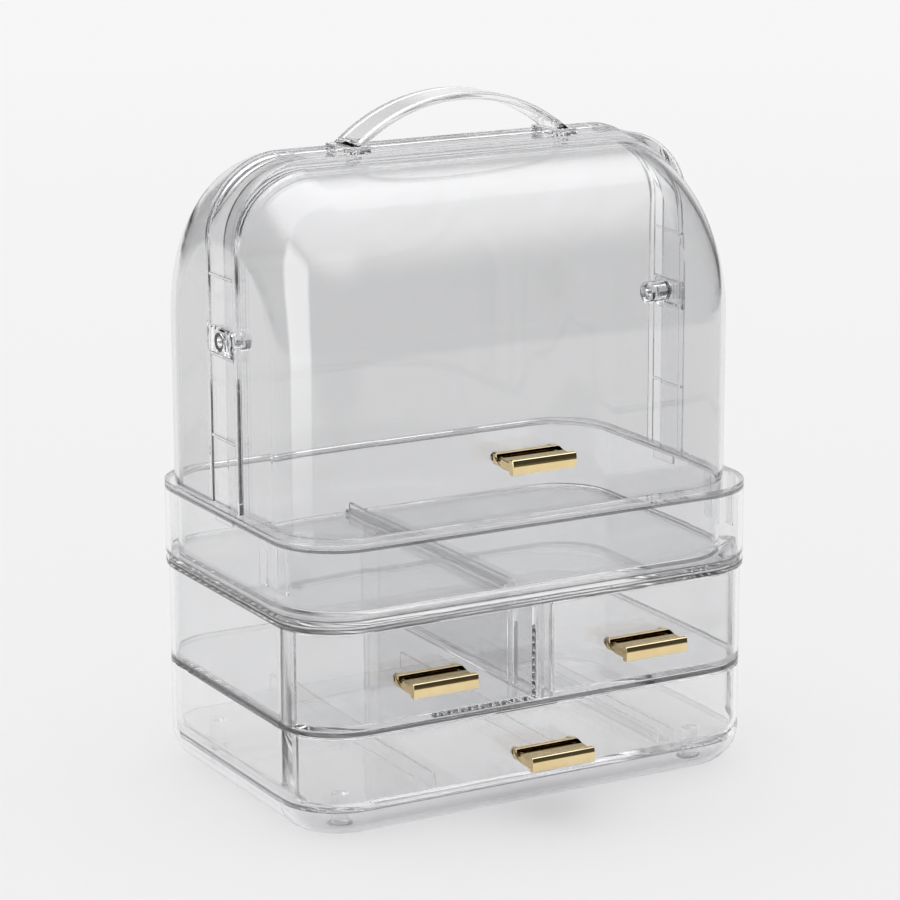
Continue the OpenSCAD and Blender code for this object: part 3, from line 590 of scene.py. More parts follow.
def joined(name, meshes):
    """One mesh of several closed ones that belong to the same moulding, with their marks. A face's points
    are its stretch of the row of all corners, and the count of the points before is added to them."""
    verts, faces, normals, rims, base = [], [], [], [], 0
    for m in meshes:
        corners = read_all(m.loops, "vertex_index", kind=np.int32)
        starts = read_all(m.polygons, "loop_start", kind=np.int32)
        each = np.zeros((len(m.vertices), 3))
        each[corners] = read_all(m.corner_normals, "vector", 3)
        verts.append(read_all(m.vertices, "co", 3))
        normals.append(each)
        rims.append(read_all(m.attributes["rim"].data, "value") if "rim" in m.attributes else 0 * each[:, 0])
        faces += [face.tolist() for face in np.split(base + corners, starts[1:])]
        base += len(m.vertices)
        bpy.data.meshes.remove(m)
    mesh = smooth_mesh(name, np.concatenate(verts), faces, np.concatenate(normals))
    marks = np.concatenate(rims)
    return mark_points(mesh, "rim", marks) if marks.any() else mesh


def fitted(mesh, body, nodes, slot, material):
    """Puts a finished mesh in the scene on its body, in place of its node, with its finish."""
    piece = in_scene(mesh.name, mesh)
    mesh.materials.append(material)
    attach(piece, body)
    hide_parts(*nodes)
    print(mesh.name, len(mesh.polygons), "faces")


# %% [markdown]
# ## The cabinet's plan
# Seen from above, every tier is the same box with large round corners, a little wider at the tub. All
# sizes below are in millimetres in the cabinet's own plan, and the mesh tools turn them into metres.

# %% Outlines of the cabinet
SHIFT_Y = 9.8                       # the frame's middle lies in front of the cabinet's
CASE_W, CASE_D, CORNER_R = 278.0, 192.0, 35.0
CASE_WALL = 2.6
TUB_W, TUB_D, TUB_R = 280.8, 194.8, 36.4
AIR = 0.08                          # a hair of air between stacked parts, so that each stays its own
OPEN_HALF = CASE_W / 2 - CASE_WALL
DRAWER_HALF = OPEN_HALF - 0.5
DRAWER_REAR = CASE_D / 2 - CASE_WALL - 1.0
BACK_R = CORNER_R - CASE_WALL - 0.5
CASE_TOP, SHELF_TOP, TIER_TOP, CABINET_TOP = 58.6, 61.4, 114.0, 116.8
CLOSE = 0.06                        # between two rows that keep a mark's end sharp


def round_box(w, d, r, at=(0.0, 0.0), steps=14):
    """An outline function: a rectangle with round corners, which grows outward by the amount asked."""
    def outline(grow):
        """The grown rectangle's points and normals."""
        hw, hd = w / 2 + grow, d / 2 + grow
        corners = [(-hw, -hd), (hw, -hd), (hw, hd), (-hw, hd)]
        points, along = filleted(corners, max(r + grow, 0.05), steps, closed=True)
        return points + (at[0], at[1] + SHIFT_Y), right_of(along)
    return outline


print("case", CASE_W, "x", CASE_D, "mm, corners", CORNER_R)

# %% [markdown]
# ## The flat plates
# A thick plate divides the tiers, another tops the cabinet, and a third lies under the bottom drawer.
# Where light enters such a plate by its rim it goes on inside to the far side, so the rim looks like a
# dark line. Clear plastic two millimetres thick would need a long path through the volume to show it,
# so the mesh marks its moulded edges with an attribute and the finish paints the dark line there as
# painted shade.

# %% Mark and lay the plates
def marked(mesh, rows):
    """Gives a carried mesh the attribute rim, how much painted shade darkens its edge lines: one amount for
    each row of its side view.
    """
    return mark_points(mesh, "rim", np.repeat(rows, len(mesh.vertices) // len(rows)))


def edged_side(z0, z1, edge, line, inward=1.0):
    """The side view of a flat rim with rounded edges, and how much of a moulded edge each point is: 1
    within line of the top or the bottom, 0 on the flat faces and in the middle. Where there is room for
    it, two close rows at each end of the line keep its end sharp."""
    places, d = rim_view(z0, z1, edge, inward)
    if 2 * line < z1 - z0 - 0.3:
        ends = (z0 + line, z0 + line + CLOSE, z1 - line - CLOSE, z1 - line)
        places, d = with_rows(places, d, len(places) // 2, 0.0, ends)
    near = np.minimum(places[:, 1] - z0, z1 - places[:, 1])
    return (places, d), ((near > 0.15 * edge) & (near < line + 0.01)).astype(float)


def plate(name, outline, z0, z1, edge, line, mark):
    """A flat plate with rounded edges, its edge lines marked that strongly for painted shade."""
    side, rows = edged_side(z0, z1, edge, line)
    return marked(carried(name, outline, side), mark * rows)


CLEAR_BODY = dict(slot="clear_plastic", material=CLEAR)
CLEAR_FLOOR = dict(slot="clear_plastic", material=FLOORS)
FLOOR_Z0, FLOOR_Z1, FLOOR_IN = 17.2, 20.0, 3.1
case_box, tub_box = round_box(CASE_W, CASE_D, CORNER_R), round_box(TUB_W, TUB_D, TUB_R)
floor_box = round_box(CASE_W - 2 * FLOOR_IN, CASE_D - 2 * FLOOR_IN, CORNER_R - FLOOR_IN)
for node, name, outline, z0, z1, edge, line, mark, finish in (
        ("middle_shelf", "shelf_between_tiers", case_box, CASE_TOP, SHELF_TOP, 0.45, 2.0, 0.9, CLEAR_FLOOR),
        ("cabinet_top", "cabinet_top_plate", tub_box, TIER_TOP, CABINET_TOP, 0.5, 0.8, 1.0, CLEAR_BODY),
        ("base_floor", "floor_under_drawer", floor_box, FLOOR_Z0, FLOOR_Z1, 0.5, 0.6, 1.0, CLEAR_FLOOR)):
    fitted(plate(name, outline, z0 + AIR, z1 - AIR, edge, line, mark), "cabinet", [node], **finish)

# %% [markdown]
# ## The tub
# A low wall runs all round the cabinet's top and holds the tray. It stands on a foot that is set back a
# little, which draws a second thin line above the plate, darkened with painted shade like the wall's
# other edge lines. A Solidify modifier on a ribbon would make the wall, but not the foot, so its whole
# side view is drawn and carried round.

# %% Mould the tub
TUB_WALL, TUB_FOOT, TUB_TOP, FOOT_IN = 2.6, 120.3, 158.4, -1.4
TRAY_Z0, TRAY_FLOOR, RIM_TOP = 119.4, 121.4, 160.74
TUB_LINES = [(FOOT_IN, 117.1, 117.7), (0.0, 120.36, 121.3), (0.0, 156.58, 158.25)]    # painted shade lines: outward, from, to
LINE_ENDS = [(FOOT_IN, 117.7), (0.0, 121.3), (0.0, 156.54)]       # outward, height


def tub_view():
    """The tub's side view, up its outside and down its inside, and its marks for painted shade: 1 along
    each line. Two close rows on the wall end each line."""
    low, top, floor = CABINET_TOP + AIR, TUB_TOP - AIR, TRAY_Z0 - AIR
    places, d = filleted([(-3.4, low), (FOOT_IN, low), (FOOT_IN, TUB_FOOT), (0, TUB_FOOT), (0, top),
                          (-TUB_WALL, top), (-TUB_WALL, floor), (-5, floor)],
                         [0, 0.6, 0.5, 0.6, 0.5, 0.5, 1.2, 0], 5)
    for outward, z in LINE_ENDS:
        at = np.argmax((np.abs(places[:, 0] - outward) < 0.01) & (places[:, 1] > z))
        places, d = with_rows(places, d, at, outward, (z, z + CLOSE))
    marks = np.zeros(len(places))
    for outward, z0, z1 in TUB_LINES:
        marks[(places[:, 0] > outward - 0.3) & (places[:, 1] > z0) & (places[:, 1] < z1 + 0.01)] = 1.0
    return (places, d), marks


tub_side, tub_marks = tub_view()
fitted(marked(carried("tray_tub", tub_box, tub_side), tub_marks), "cabinet", ["upper_tub"], **CLEAR_BODY)

# %% [markdown]
# ## The tray
# A shallow tray hangs in the tub by a rim that reaches out over the tub's wall. It is one moulding, so
# one side view runs from the middle of its floor up its wall, out along the rim and back. The tray's
# plan has its own corners, smaller than the rim's, so the side view's inner places follow one outline
# and its outer places another.

# %% Mould the tray and its rim
RIM_SIDE, RIM_FRONT, RIM_BACK, TRAY_R = 8.9, 13.2, 5.4, 36.0
WELL = 100                          # how far in the side view's well lies, to tell it from the rim
RIM_OUT, RIM_LINE, RIM_MARK = -0.5, (158.5, 160.0), 0.65      # where painted shade marks the rim's edge, how strongly


def tray_and_rim():
    """The tray and its rim: places of the side view near WELL are taken from the tray's own outline,
    grown by what they are out of it, and the others from the rim's."""
    inner = round_box(TUB_W - 2 * RIM_SIDE, TUB_D - RIM_FRONT - RIM_BACK, TRAY_R,
                      (0, (RIM_FRONT - RIM_BACK) / 2))

    def outline(o):
        """The tray's outline for the well's places, the rim's for the others."""
        return inner(o + WELL) if o < -WELL / 2 else tub_box(o)

    out, middle = 2 - WELL, -WELL - 3
    places, d = filleted([(middle, TRAY_Z0), (out, TRAY_Z0), (out, TUB_TOP), (0, TUB_TOP), (0, RIM_TOP),
                          (-WELL, RIM_TOP), (-WELL, TRAY_FLOOR), (middle, TRAY_FLOOR)],
                         [0, 1.0, 0.5, 0.5, 0.6, 0.8, 1.2, 0], 5)
    low_edge = (places[:, 0] > RIM_OUT) & (places[:, 1] > RIM_LINE[0]) & (places[:, 1] < RIM_LINE[1])
    return marked(carried("tray", outline, (places, d)), RIM_MARK * low_edge)


print("tray", TUB_W - 2 * RIM_SIDE, "mm wide, its rim", TUB_W)

# %% Hang the tongues and fit the tray
def upright_block(name, centre, size, turn, edge):
    """A small upright block with rounded edges, turned about its own middle by a turning matrix."""
    box_outline = round_box(size[0], size[1], edge + 0.1, steps=4)
    side = rim_view(0, size[2], edge, 0.2, 4)
    c, s = math.cos(turn), math.sin(turn)
    turned = np.array([[c, s, 0], [-s, c, 0], [0, 0, 1]])

    def lie(p):
        """Turned about its middle and put in its place."""
        return (p - (0, SHIFT_Y, 0)) @ turned + (centre[0], centre[1] + SHIFT_Y, centre[2])

    return carried(name, box_outline, side, lie)


TONGUE, TONGUE_Z, TONGUE_ROOM = (1.6, 8.0, 27.0 - AIR), 131.4, 1.2     # room: from the wall to its middle
TONGUE_TURNS = [(0.0, 14.0), (-10.0, 0.0)]                             # degrees, along the wall


def tongues():
    """Two tongues by each front corner, hanging from the rim just inside the tub's wall: from the middle
    of the corner, out by its reach and along, turned by a few degrees."""
    reach, made = TUB_R - TUB_WALL - TONGUE_ROOM, []
    cx, cy = TUB_W / 2 - TUB_R, TUB_R - TUB_D / 2
    for side in (-1, 1):
        for turn, along in TONGUE_TURNS:
            c, s = math.cos(math.radians(turn)), math.sin(math.radians(turn))
            centre = (side * (cx + reach * c - along * s), cy + reach * s + along * c, TONGUE_Z)
            made.append(upright_block("tongue", centre, TONGUE, side * math.radians(turn), 0.35))
    return made


fitted(joined("tray_with_rim", [tray_and_rim(), *tongues()]), "cabinet", ["tray_insert"], **CLEAR_BODY)

# %% [markdown]
# ## The middle tier's wall
# Three sides of the middle tier are one wall, open in front for the two drawers. Its plan has two round
# rear corners, and its front ends follow the round front corner, so they thin to a rounded tip. A
# Boolean could cut the front out of a box; a plan drawn with its tips keeps the edges clean.

# %% Wall round the middle tier
def arc(centre, r, a0, a1, steps):
    """Points of an arc and its directions, from angle a0 to a1 in degrees."""
    a = np.radians(np.linspace(a0, a1, steps))
    c, s = np.cos(a), np.sin(a)
    return centre + r * stacked(c, s), np.sign(a1 - a0) * stacked(-s, c)


TIP_R, TIP_TURN = 0.3, -19.46       # the wall's front tips, and how far round the front corner they reach


def open_wall_outline():
    """The plan of three walls: arcs for the outer face, a tip, arcs for the inner face, and the other
    tip. Each arc's points are its centre plus its radius times the cosine and sine."""
    cx, cy, inner_r = CASE_W / 2 - CORNER_R, CASE_D / 2 - CORNER_R, CORNER_R - CASE_WALL
    turn, end = math.radians(TIP_TURN), 180 - TIP_TURN
    start = np.array([cx, -cy]) + (CORNER_R - TIP_R) * np.array([math.cos(turn), math.sin(turn)])
    parts = [arc((cx, -cy), CORNER_R, TIP_TURN, 0, 8), arc((cx, cy), CORNER_R, 0, 90, 14),
             arc((-cx, cy), CORNER_R, 90, 180, 14), arc((-cx, -cy), CORNER_R, 180, end, 8),
             arc((-start[0], start[1]), TIP_R, end, 360, 9),
             arc((-cx, cy), inner_r, 180, 90, 14), arc((cx, cy), inner_r, 90, 0, 14),
             arc((start[0], start[1]), TIP_R, 180, 360 + TIP_TURN, 9)]
    points, d = map(np.concatenate, zip(*parts))
    normals = right_of(d)
    keep = np.linalg.norm(points - np.roll(points, 1, 0), axis=1) > 0.02
    points, normals = points[keep], normals[keep]
    return lambda grow: (points + grow * normals + (0, SHIFT_Y), normals)


TIER_Z = (SHELF_TOP + AIR, TIER_TOP - AIR)
# the wall's edge lines are marked for painted shade
wall_view, wall_marks = edged_side(*TIER_Z, 0.27, 0.9, 0.01)
fitted(marked(carried("middle_tier_wall", open_wall_outline(), wall_view), wall_marks),
       "cabinet", ["middle_case"], **CLEAR_BODY)

# %% [markdown]
# ## The divider between the middle drawers
# Between the two drawers stands a hollow wall with a slim post in front, joined by a thin web. Seen
# through the drawers it gives a stack of upright lines. Each part is a small rounded block, and they
# are kept a hair apart so that the plastic between them doesn't look glued.

# %% Divider between the middle drawers
def box_plan(x, y, r):
    """The plan of an upright block between two x and two y, in the cabinet's plan."""
    return round_box(x[1] - x[0], y[1] - y[0], r, ((x[0] + x[1]) / 2, (y[0] + y[1]) / 2), 5)


def box_block(name, x, y, z, edge):
    """An upright block with rounded edges, between two x, two y and two z."""
    return carried(name, box_plan(x, y, edge + 0.05), rim_view(*z, edge))


def box_frame(name, x, y, z, wall, edge):
    """Four thin walls round a hollow: the rounded side view of a wall carried round the outside."""
    side = filleted([(0, z[0]), (0, z[1]), (-wall, z[1]), (-wall, z[0])], edge, 5, closed=True)
    return carried(name, box_plan(x, y, 0.6), side, wrap=True)


DIVIDER_HALF, WEB_HALF = 4, 1.2
POST_Y0, POST_Y1, HOLLOW_Y0, HOLLOW_Y1 = -96, -93, -66, 93.4
fitted(joined("centre_divider_wall", [
    box_block("post", (-DIVIDER_HALF, DIVIDER_HALF), (POST_Y0, POST_Y1), TIER_Z, 0.4),
    box_block("web", (-WEB_HALF, WEB_HALF), (POST_Y1 + AIR, HOLLOW_Y0 - AIR), TIER_Z, 0.4),
    box_frame("hollow", (-DIVIDER_HALF, DIVIDER_HALF), (HOLLOW_Y0, HOLLOW_Y1 - AIR), TIER_Z, 2.0, 0.4)]),
    "cabinet", ["centre_divider"], **CLEAR_BODY)

# %% [markdown]
# ## The middle drawers
# Each is a thin tray whose front closes the tier. On the cabinet's outside its front bends with the
# round corner and stops where the side wall begins. Two boxes with a Bevel would have even corners all
# round, so the plan is drawn from arcs, with different ones at each corner.

# %% Draw the drawers' plan
DRAWER_WALL, DRAWER_FLOOR, INNER_R = 2.2, 2.2, 1.2
DRAWER_Z0, DRAWER_Z1, BESIDE_DIVIDER = 61.7, 113.2, 4.5
WIDE = 100                          # a drawer that reaches further out than this meets the side wall


def drawer_outline(x0, x1):
    """The plan of a drawer. On the cabinet's outside, its front follows the cabinet's round corner as
    far as the side wall, and its back the cavity's; the corners next to the divider are small."""
    cx, cy, tail = CASE_W / 2 - CORNER_R, CASE_D / 2 - CORNER_R, 0.5
    wide_left, wide_right = x0 < -WIDE, x1 > WIDE

    def outline(grow):
        """The grown plan's points and normals, from its front left round to its back left."""
        hx0, hx1, front, back = x0 - grow, x1 + grow, -CASE_D / 2 - grow, DRAWER_REAR + grow
        small = max(INNER_R + grow, 0.05)
        front_r, back_r = CORNER_R + grow, BACK_R + grow
        if wide_left:
            tip = arc((-cx, -cy), front_r, 360 - math.degrees(math.acos((hx0 + cx) / front_r)), 270, 13)
            parts = [(np.array([[hx0, tip[0][0, 1] + tail]]), np.array([[0.0, -1.0]])), tip]
        else:
            parts = [arc((hx0 + small, front + small), small, 180, 270, 14)]
        if wide_right:
            tip = arc((cx, -cy), front_r, 270, 360 - math.degrees(math.acos((hx1 - cx) / front_r)), 13)
            parts += [tip, (np.array([[hx1, tip[0][-1, 1] + tail]]), np.array([[0.0, 1.0]])),
                      arc((hx1 - back_r, back - back_r), back_r, 0, 90, 14)]
        else:
            parts += [arc((hx1 - small, front + small), small, 270, 360, 14),
                      arc((hx1 - small, back - small), small, 0, 90, 14)]
        r = back_r if wide_left else small
        parts.append(arc((hx0 + r, back - r), r, 90, 180, 14))
        points, d = map(np.concatenate, zip(*parts))
        return points + (0, SHIFT_Y), right_of(d)
    return outline


print("drawers", DRAWER_HALF - BESIDE_DIVIDER, "mm wide")


# %% Mould the drawers
def drawer_side(z0, z1):
    """The side view of a drawer's wall and floor: up the outside, over the top, down the inside."""
    w, floor = DRAWER_WALL, z0 + DRAWER_FLOOR
    return filleted([(-3.0, z0), (0, z0), (0, z1), (-w, z1), (-w, floor), (-w - 3, floor)],
                    [0, 0.6, 0.6, 0.6, 1.0, 0], 5)


for side, x0, x1 in (("left", -DRAWER_HALF, -BESIDE_DIVIDER), ("right", BESIDE_DIVIDER, DRAWER_HALF)):
    fitted(carried(side + "_drawer_tray", drawer_outline(x0, x1), drawer_side(DRAWER_Z0, DRAWER_Z1)),
           side + "_drawer_body", [side + "_drawer"], **CLEAR_BODY)

# %% [markdown]
# ## The bottom drawer
# The wide drawer is made the same way, but its lower edges at the sides round with the base's opening.
# The round could be cut away afterwards. It is simpler to squeeze each height of the finished shell by
# a quarter circle, and to tilt the normals by its slope.

# %% Mould the bottom drawer
LOW_HALF, LOW_R, LOW_Z0, LOW_Z1 = 135.6, 8.0, 20.3, 57.8


def squeeze(z):
    """How wide the drawer is at a height, as a share of its full width, and how fast that changes: the
    half-width less the radius, plus the root of the radius squared less the depth below it squared."""
    left = LOW_R - np.clip(z - LOW_Z0, 0, LOW_R)
    across = np.sqrt(np.maximum(LOW_R ** 2 - left ** 2, 0))
    slope = np.where(left > 0, left / np.maximum(across, 0.6), 0)
    return (LOW_HALF - LOW_R + across) / LOW_HALF, slope / LOW_HALF


def bottom_drawer_mesh():
    """The drawer's upright shell, with rows added along the quarter circle, and its X times the squeeze
    s(z). The normal's X goes over s, and its Z loses X times that times the slope of s."""
    places, d = drawer_side(LOW_Z0, LOW_Z1)
    curve = LOW_Z0 + LOW_R * (1 - np.cos(np.radians(np.linspace(20, 90, 10))))
    split, inner = np.argmax(places[:, 1] > LOW_Z0 + 1.0), len(places) - 6     # 6: inner corner and end
    outside = curve[curve > places[split - 1, 1] + 0.1]
    inside = curve[::-1][curve[::-1] > LOW_Z0 + DRAWER_WALL + 1.1]
    places, d = with_rows(places, d, inner, -DRAWER_WALL, inside, -1.0)
    places, d = with_rows(places, d, split, 0.0, outside)
    n = right_of(d)
    xy, out = grown_rows(drawer_outline(-LOW_HALF, LOW_HALF), places[:, 0])
    up = places[:, 1, None]
    share, slope = squeeze(up)
    nx, ny = out[..., 0] * n[:, 0, None] / share, out[..., 1] * n[:, 0, None]
    nz = n[:, 1, None] - xy[..., 0] * nx * slope
    points = stacked(xy[..., 0] * share, xy[..., 1], up)
    return surface("bottom_drawer_tray", points, stacked(nx, ny, nz))


fitted(bottom_drawer_mesh(), "bottom_drawer_body", ["bottom_drawer"], **CLEAR_FLOOR)

# %% [markdown]
# ## Partitions and the rail
# Two low strips and a channel part the bottom drawer, and a rail crosses the tray. All run straight
# back, so each is a section carried along a line, which a bevelled curve would do as well. Carried this
# way, their ends are rounded too.

# %% Partitions and rails
BAR_EDGE, BAR_R = 0.3, 0.4


def beam(name, section, y0, y1):
    """A straight bar along Y: its section, with rounded corners, carried from y0 to y1, its ends rounded.
    The section is drawn in X and Z, anticlockwise as seen from the front."""
    pts, d = filleted(section, BAR_R, 5, closed=True)
    n = right_of(d)

    def lie(p):
        """Laid down, so that the section's height points up and its length back."""
        return stacked(p[..., 0], SHIFT_Y - p[..., 2], p[..., 1])

    return carried(name, lambda grow: (pts + grow * n, n), rim_view(-y1, -y0, BAR_EDGE, steps=4), lie)


PART_Z0, PART_Z1, PART_Y0, PART_Y1, PART_T = 22.5 + AIR, 31.5 + AIR, -93.5, 89.9, 2.0
CHANNEL_X, CHANNEL_HALF = 77, 5.25


def strip_section(x):
    """A partition strip's four corners, anticlockwise from the front."""
    x0, x1 = x - PART_T / 2, x + PART_T / 2
    return [(x0, PART_Z0), (x1, PART_Z0), (x1, PART_Z1), (x0, PART_Z1)]


def channel_section():
    """The channel's corners: a strip's height outside, and as thick as a strip."""
    x0, x1, z0, t = CHANNEL_X - CHANNEL_HALF, CHANNEL_X + CHANNEL_HALF, PART_Z0, PART_T
    return [(x0, z0), (x1, z0), (x1, PART_Z1), (x1 - t, PART_Z1), (x1 - t, z0 + t), (x0 + t, z0 + t),
            (x0 + t, PART_Z1), (x0, PART_Z1)]


def rail_section():
    """The tray rail's corners: a low wide foot with a narrow ridge along it."""
    z0, z1, z2 = (TRAY_FLOOR + AIR + h for h in (0, 2.4, 6))
    return [(-18.5, z0), (-11.5, z0), (-11.5, z1), (-13.8, z1), (-13.8, z2), (-16.2, z2), (-16.2, z1),
            (-18.5, z1)]


for node, kind, section in (("left_partition", "strip", strip_section(-65)),
                            ("centre_partition", "strip", strip_section(15)),
                            ("right_partition", "channel", channel_section())):
    fitted(beam(f"{node}_{kind}", section, PART_Y0, PART_Y1), "bottom_drawer_body", [node], **CLEAR_FLOOR)
fitted(beam("tray_divider_rail", rail_section(), RIM_FRONT + 0.3 - TUB_D / 2, TUB_D / 2 - RIM_BACK - 0.3),
       "cabinet", ["tray_divider"], **CLEAR_BODY)

# %% [markdown]
# ## The arch over the dome
# A strap runs up one side, over the top and down the other, with a shallow channel in its outer face.
# It carries the handle and the pivots, and the lid slides under it. Bending a bar with a Curve modifier
# would give it a flat inner face. The lid turns about the pivots, so the face toward it has to be
# part of a round surface about that line, and the two faces are worked out apart.

# %% Bend the arch
ARCH_HALF, ARCH_TOP, ARCH_CORNER = 137.5, 343.8, 42.9
IN_HALF, IN_R, IN_CORNER = 134.6, 90.0, 40.4
PIVOT_Z, RIM_Z, ARCH_W, CHANNEL_W, CHANNEL_DEEP = 250.0, 160.8, 34.7, 28.0, 1.16
INNER_DEEP = 50                     # how deep the section's inner face is drawn, to tell it from the outer
FOOT_ROUND = [(-0.4, 0.0, 1.0), (-0.12, 0.12, 0.7), (0.0, 0.4, 0.0)]    # growth, lift, share of the end


def arch_stations():
    """Places along the arch from the left foot over the top to the right foot, one row each: the outer
    line's x and z, its outward direction's x and z, the inner line's x, its distance from the pivot line
    or the share of the way up, and 1 where the arch bends."""
    a = np.radians(np.linspace(180, 90, 15))
    z0 = RIM_Z + AIR
    rise = np.linspace(0, 1, 4)[:-1]
    oc, oz = ARCH_HALF - ARCH_CORNER, ARCH_TOP - ARCH_CORNER
    ic, iz = IN_HALF - IN_CORNER, IN_R - IN_CORNER
    c, s = np.cos(a), np.sin(a)
    up = stacked(-ARCH_HALF, z0 + rise * (oz - z0), -1, 0, -IN_HALF, rise, 0)
    bend = stacked(-oc + ARCH_CORNER * c, oz + ARCH_CORNER * s, c, s,
                   -ic + IN_CORNER * c, iz + IN_CORNER * s, 1)
    half = np.concatenate([up, bend])
    return np.concatenate([half, half[::-1] * np.array([-1, 1, -1, 1, -1, 1, 1])])


print("arch in", len(arch_stations()), "rows")


# %% Carry the arch's section
def arch_mesh():
    """The arch's section, a strap with a shallow channel in its outer face, carried over the stations.
    Its outer places lie on the outer line, and those near INNER_DEEP on the inner surface, which turns
    about the pivot line: its height there is the root of its distance squared less y squared."""
    w, c = ARCH_W / 2, CHANNEL_W / 2
    section = [(w, 0), (c, 0), (c, -CHANNEL_DEEP), (-c, -CHANNEL_DEEP), (-c, 0), (-w, 0), (-w, -INNER_DEEP),
               (w, -INNER_DEEP)]
    pts, d = filleted(section, [0.6, 0.45, 0.35, 0.35, 0.45, 0.6, 0.5, 0.5], 5, closed=True)
    n = right_of(d)
    low = np.where(pts[:, 1] <= 0.001 - INNER_DEEP)[0]
    first, mid = low[np.argmax(pts[low, 0] > 0)], np.linspace(-w + 1, w - 1, 7)
    pts = np.insert(pts, first, [(at, -INNER_DEEP) for at in mid], 0)
    n = np.insert(n, first, [(0.0, -1.0)] * 7, 0)
    st, foot = arch_stations(), np.array(FOOT_ROUND)
    last = len(st) - 1
    idx = np.concatenate([[0] * 3, np.arange(1, last), [last] * 3])
    out_x, out_z, side_x, side_z, in_x, reach, bends = st[idx].T[..., None]
    grow, lift, end = np.concatenate([foot, np.zeros((last - 1, 3)), foot[::-1]]).T[..., None]
    y, q = pts[:, 0] + grow * n[:, 0], pts[:, 1] + grow * n[:, 1]
    outer = (q > -INNER_DEEP / 2)[..., None]
    outer_p = stacked(out_x + q * side_x, y, out_z + q * side_z + lift)
    dist = np.where(bends, reach, IN_R - IN_CORNER)
    bent_z, z0 = PIVOT_Z + np.sqrt(dist ** 2 - y ** 2), RIM_Z + AIR
    inner_z = np.where(bends, bent_z, z0 + reach * (bent_z - z0)) + lift
    bent_n = stacked(side_x, y / dist * side_z, np.sqrt(1 - (y / dist) ** 2) * side_z)
    inner_n = np.where(bends[..., None], bent_n, stacked(side_x, 0, 0))
    inner_p = stacked(in_x, y, inner_z) + (q + INNER_DEEP)[..., None] * inner_n
    points = np.where(outer, outer_p, inner_p) + (0, SHIFT_Y, 0)
    across = np.where(outer, stacked(side_x, 0, side_z), inner_n)
    normals = n[:, 1:] * across + n[:, :1] * np.array([0, 1, 0])
    normals = unit(normals * (1 - end[..., None]) + end[..., None] * np.array([0.0, 0.0, -1.0]))
    print("arch's section:", len(pts), "points")
    return surface("arch_strap", points, normals)


# %% Fit the arch's ribs and tabs
RIB_T, RIB_RISES = 1.6, (38.0, 82.2, 124.0)        # up each side, to a rib's top
TOP_RIBS = [(92.0, 0.0), (99.0, 0.25)]             # out from the middle, and sunk where the top bends
TAB, TAB_X, TAB_Z = (1.6, 20.0, 5.5), 135.7, 152.8


def arch_ribs():
    """Thin ribs across the channel, low on the uprights and beside the top's corners."""
    deep, across = CHANNEL_DEEP - AIR, CHANNEL_W - 0.3
    places = [(ARCH_HALF - deep / 2, RIM_Z + rise - RIB_T, (deep, across, RIB_T)) for rise in RIB_RISES]
    places += [(x, ARCH_TOP - CHANNEL_DEEP + AIR - sink, (RIB_T, across, deep)) for x, sink in TOP_RIBS]
    return [upright_block("rib", (side * x, 0, z), size, 0.0, 0.25)
            for side in (-1, 1) for x, z, size in places]


def arch_tabs():
    """The tabs under the uprights, between the tub's wall and the tray's."""
    return [upright_block("tab", (side * TAB_X, 0, TAB_Z), TAB, 0.0, 0.3) for side in (-1, 1)]


fitted(joined("arch_over_dome", [arch_mesh(), *arch_ribs(), *arch_tabs()]),
       "cabinet", ["arch_frame"], **CLEAR_BODY)

# %% [markdown]
# ## The carry handle
# A rounded strap is bowed between two small feet on the arch. A bevelled curve could follow the bow, but
# its ends would be cut square to the bow and not lie flat on the feet. So each point of the section runs
# along its own circle, from where that circle meets the feet's tops to where it meets them again.

# %% Bow the carry handle
HANDLE_R, HANDLE_Z, HANDLE_W, HANDLE_T = 99.964, 271.336, 24.0, 4.2
FOOT_TOP, CHANNEL_TOP, FOOT_X, FOOT_LONG, FOOT_WIDE = 347.1, 342.7, 62.5, 7.5, 12


def handle_strap():
    """A rounded strap bent to a circle: a point of the section at radius rho runs from where that radius
    meets the feet's tops on one side to where it does on the other."""
    w, t = HANDLE_W / 2, HANDLE_T / 2
    pts, d = filleted([(w, -t), (w, t), (-w, t), (-w, -t)], 1.6, 9, closed=True)
    n = right_of(d)
    rho = HANDLE_R - t + pts[:, 1]
    end = np.arcsin((FOOT_TOP + AIR - HANDLE_Z) / rho)
    a = math.pi - end - np.linspace(0, 1, 61)[:, None] * (math.pi - 2 * end)
    c, s = np.cos(a), np.sin(a)
    points = stacked(rho * c, pts[:, 0] + SHIFT_Y, HANDLE_Z + rho * s)
    return surface("strap", points, stacked(n[:, 1] * c, n[:, 0], n[:, 1] * s))


def handle_feet():
    """The two blocks that the strap stands on, sunk into the arch's channel."""
    y, z = (-FOOT_WIDE, FOOT_WIDE), (CHANNEL_TOP, FOOT_TOP)
    return [box_block("foot", (x - FOOT_LONG, x + FOOT_LONG), y, z, 0.7) for x in (-FOOT_X, FOOT_X)]


fitted(joined("carry_handle_bow", [handle_strap(), *handle_feet()]),
       "cabinet", ["carry_handle"], **CLEAR_FLOOR)

# %% [markdown]
# ## The gold pulls
# Four alike pulls, one on each drawer and one on the lid, are the only metal seen. Each is a cast bar
# with a face that bulges slightly, a flat tread behind it for the fingers, and a slot along the ridge
# at the wall. A cube with loop cuts would do, but a side view carried along X keeps every edge's
# round the same, and the points in the slot can be marked for the finish's painted shade as they are made.

# %% Draw the pull's section
PULL_TOP, BAR, EDGE, PULL_HALF = 4.1, 16.6, 0.45, 19.0
SLOT = (3.2, 7.6, 1.1)              # back, front, floor
SLOT_POINTS = slice(60, 73)         # five points a corner: the slot's floor, its back and the ridge's corner
# how strongly painted shade falls on each of those points
SLOT_DEPTHS = [0.35, 0.4, 0.45, 0.5, 0.55] + [1.0] * 6 + [0.6, 0.2]


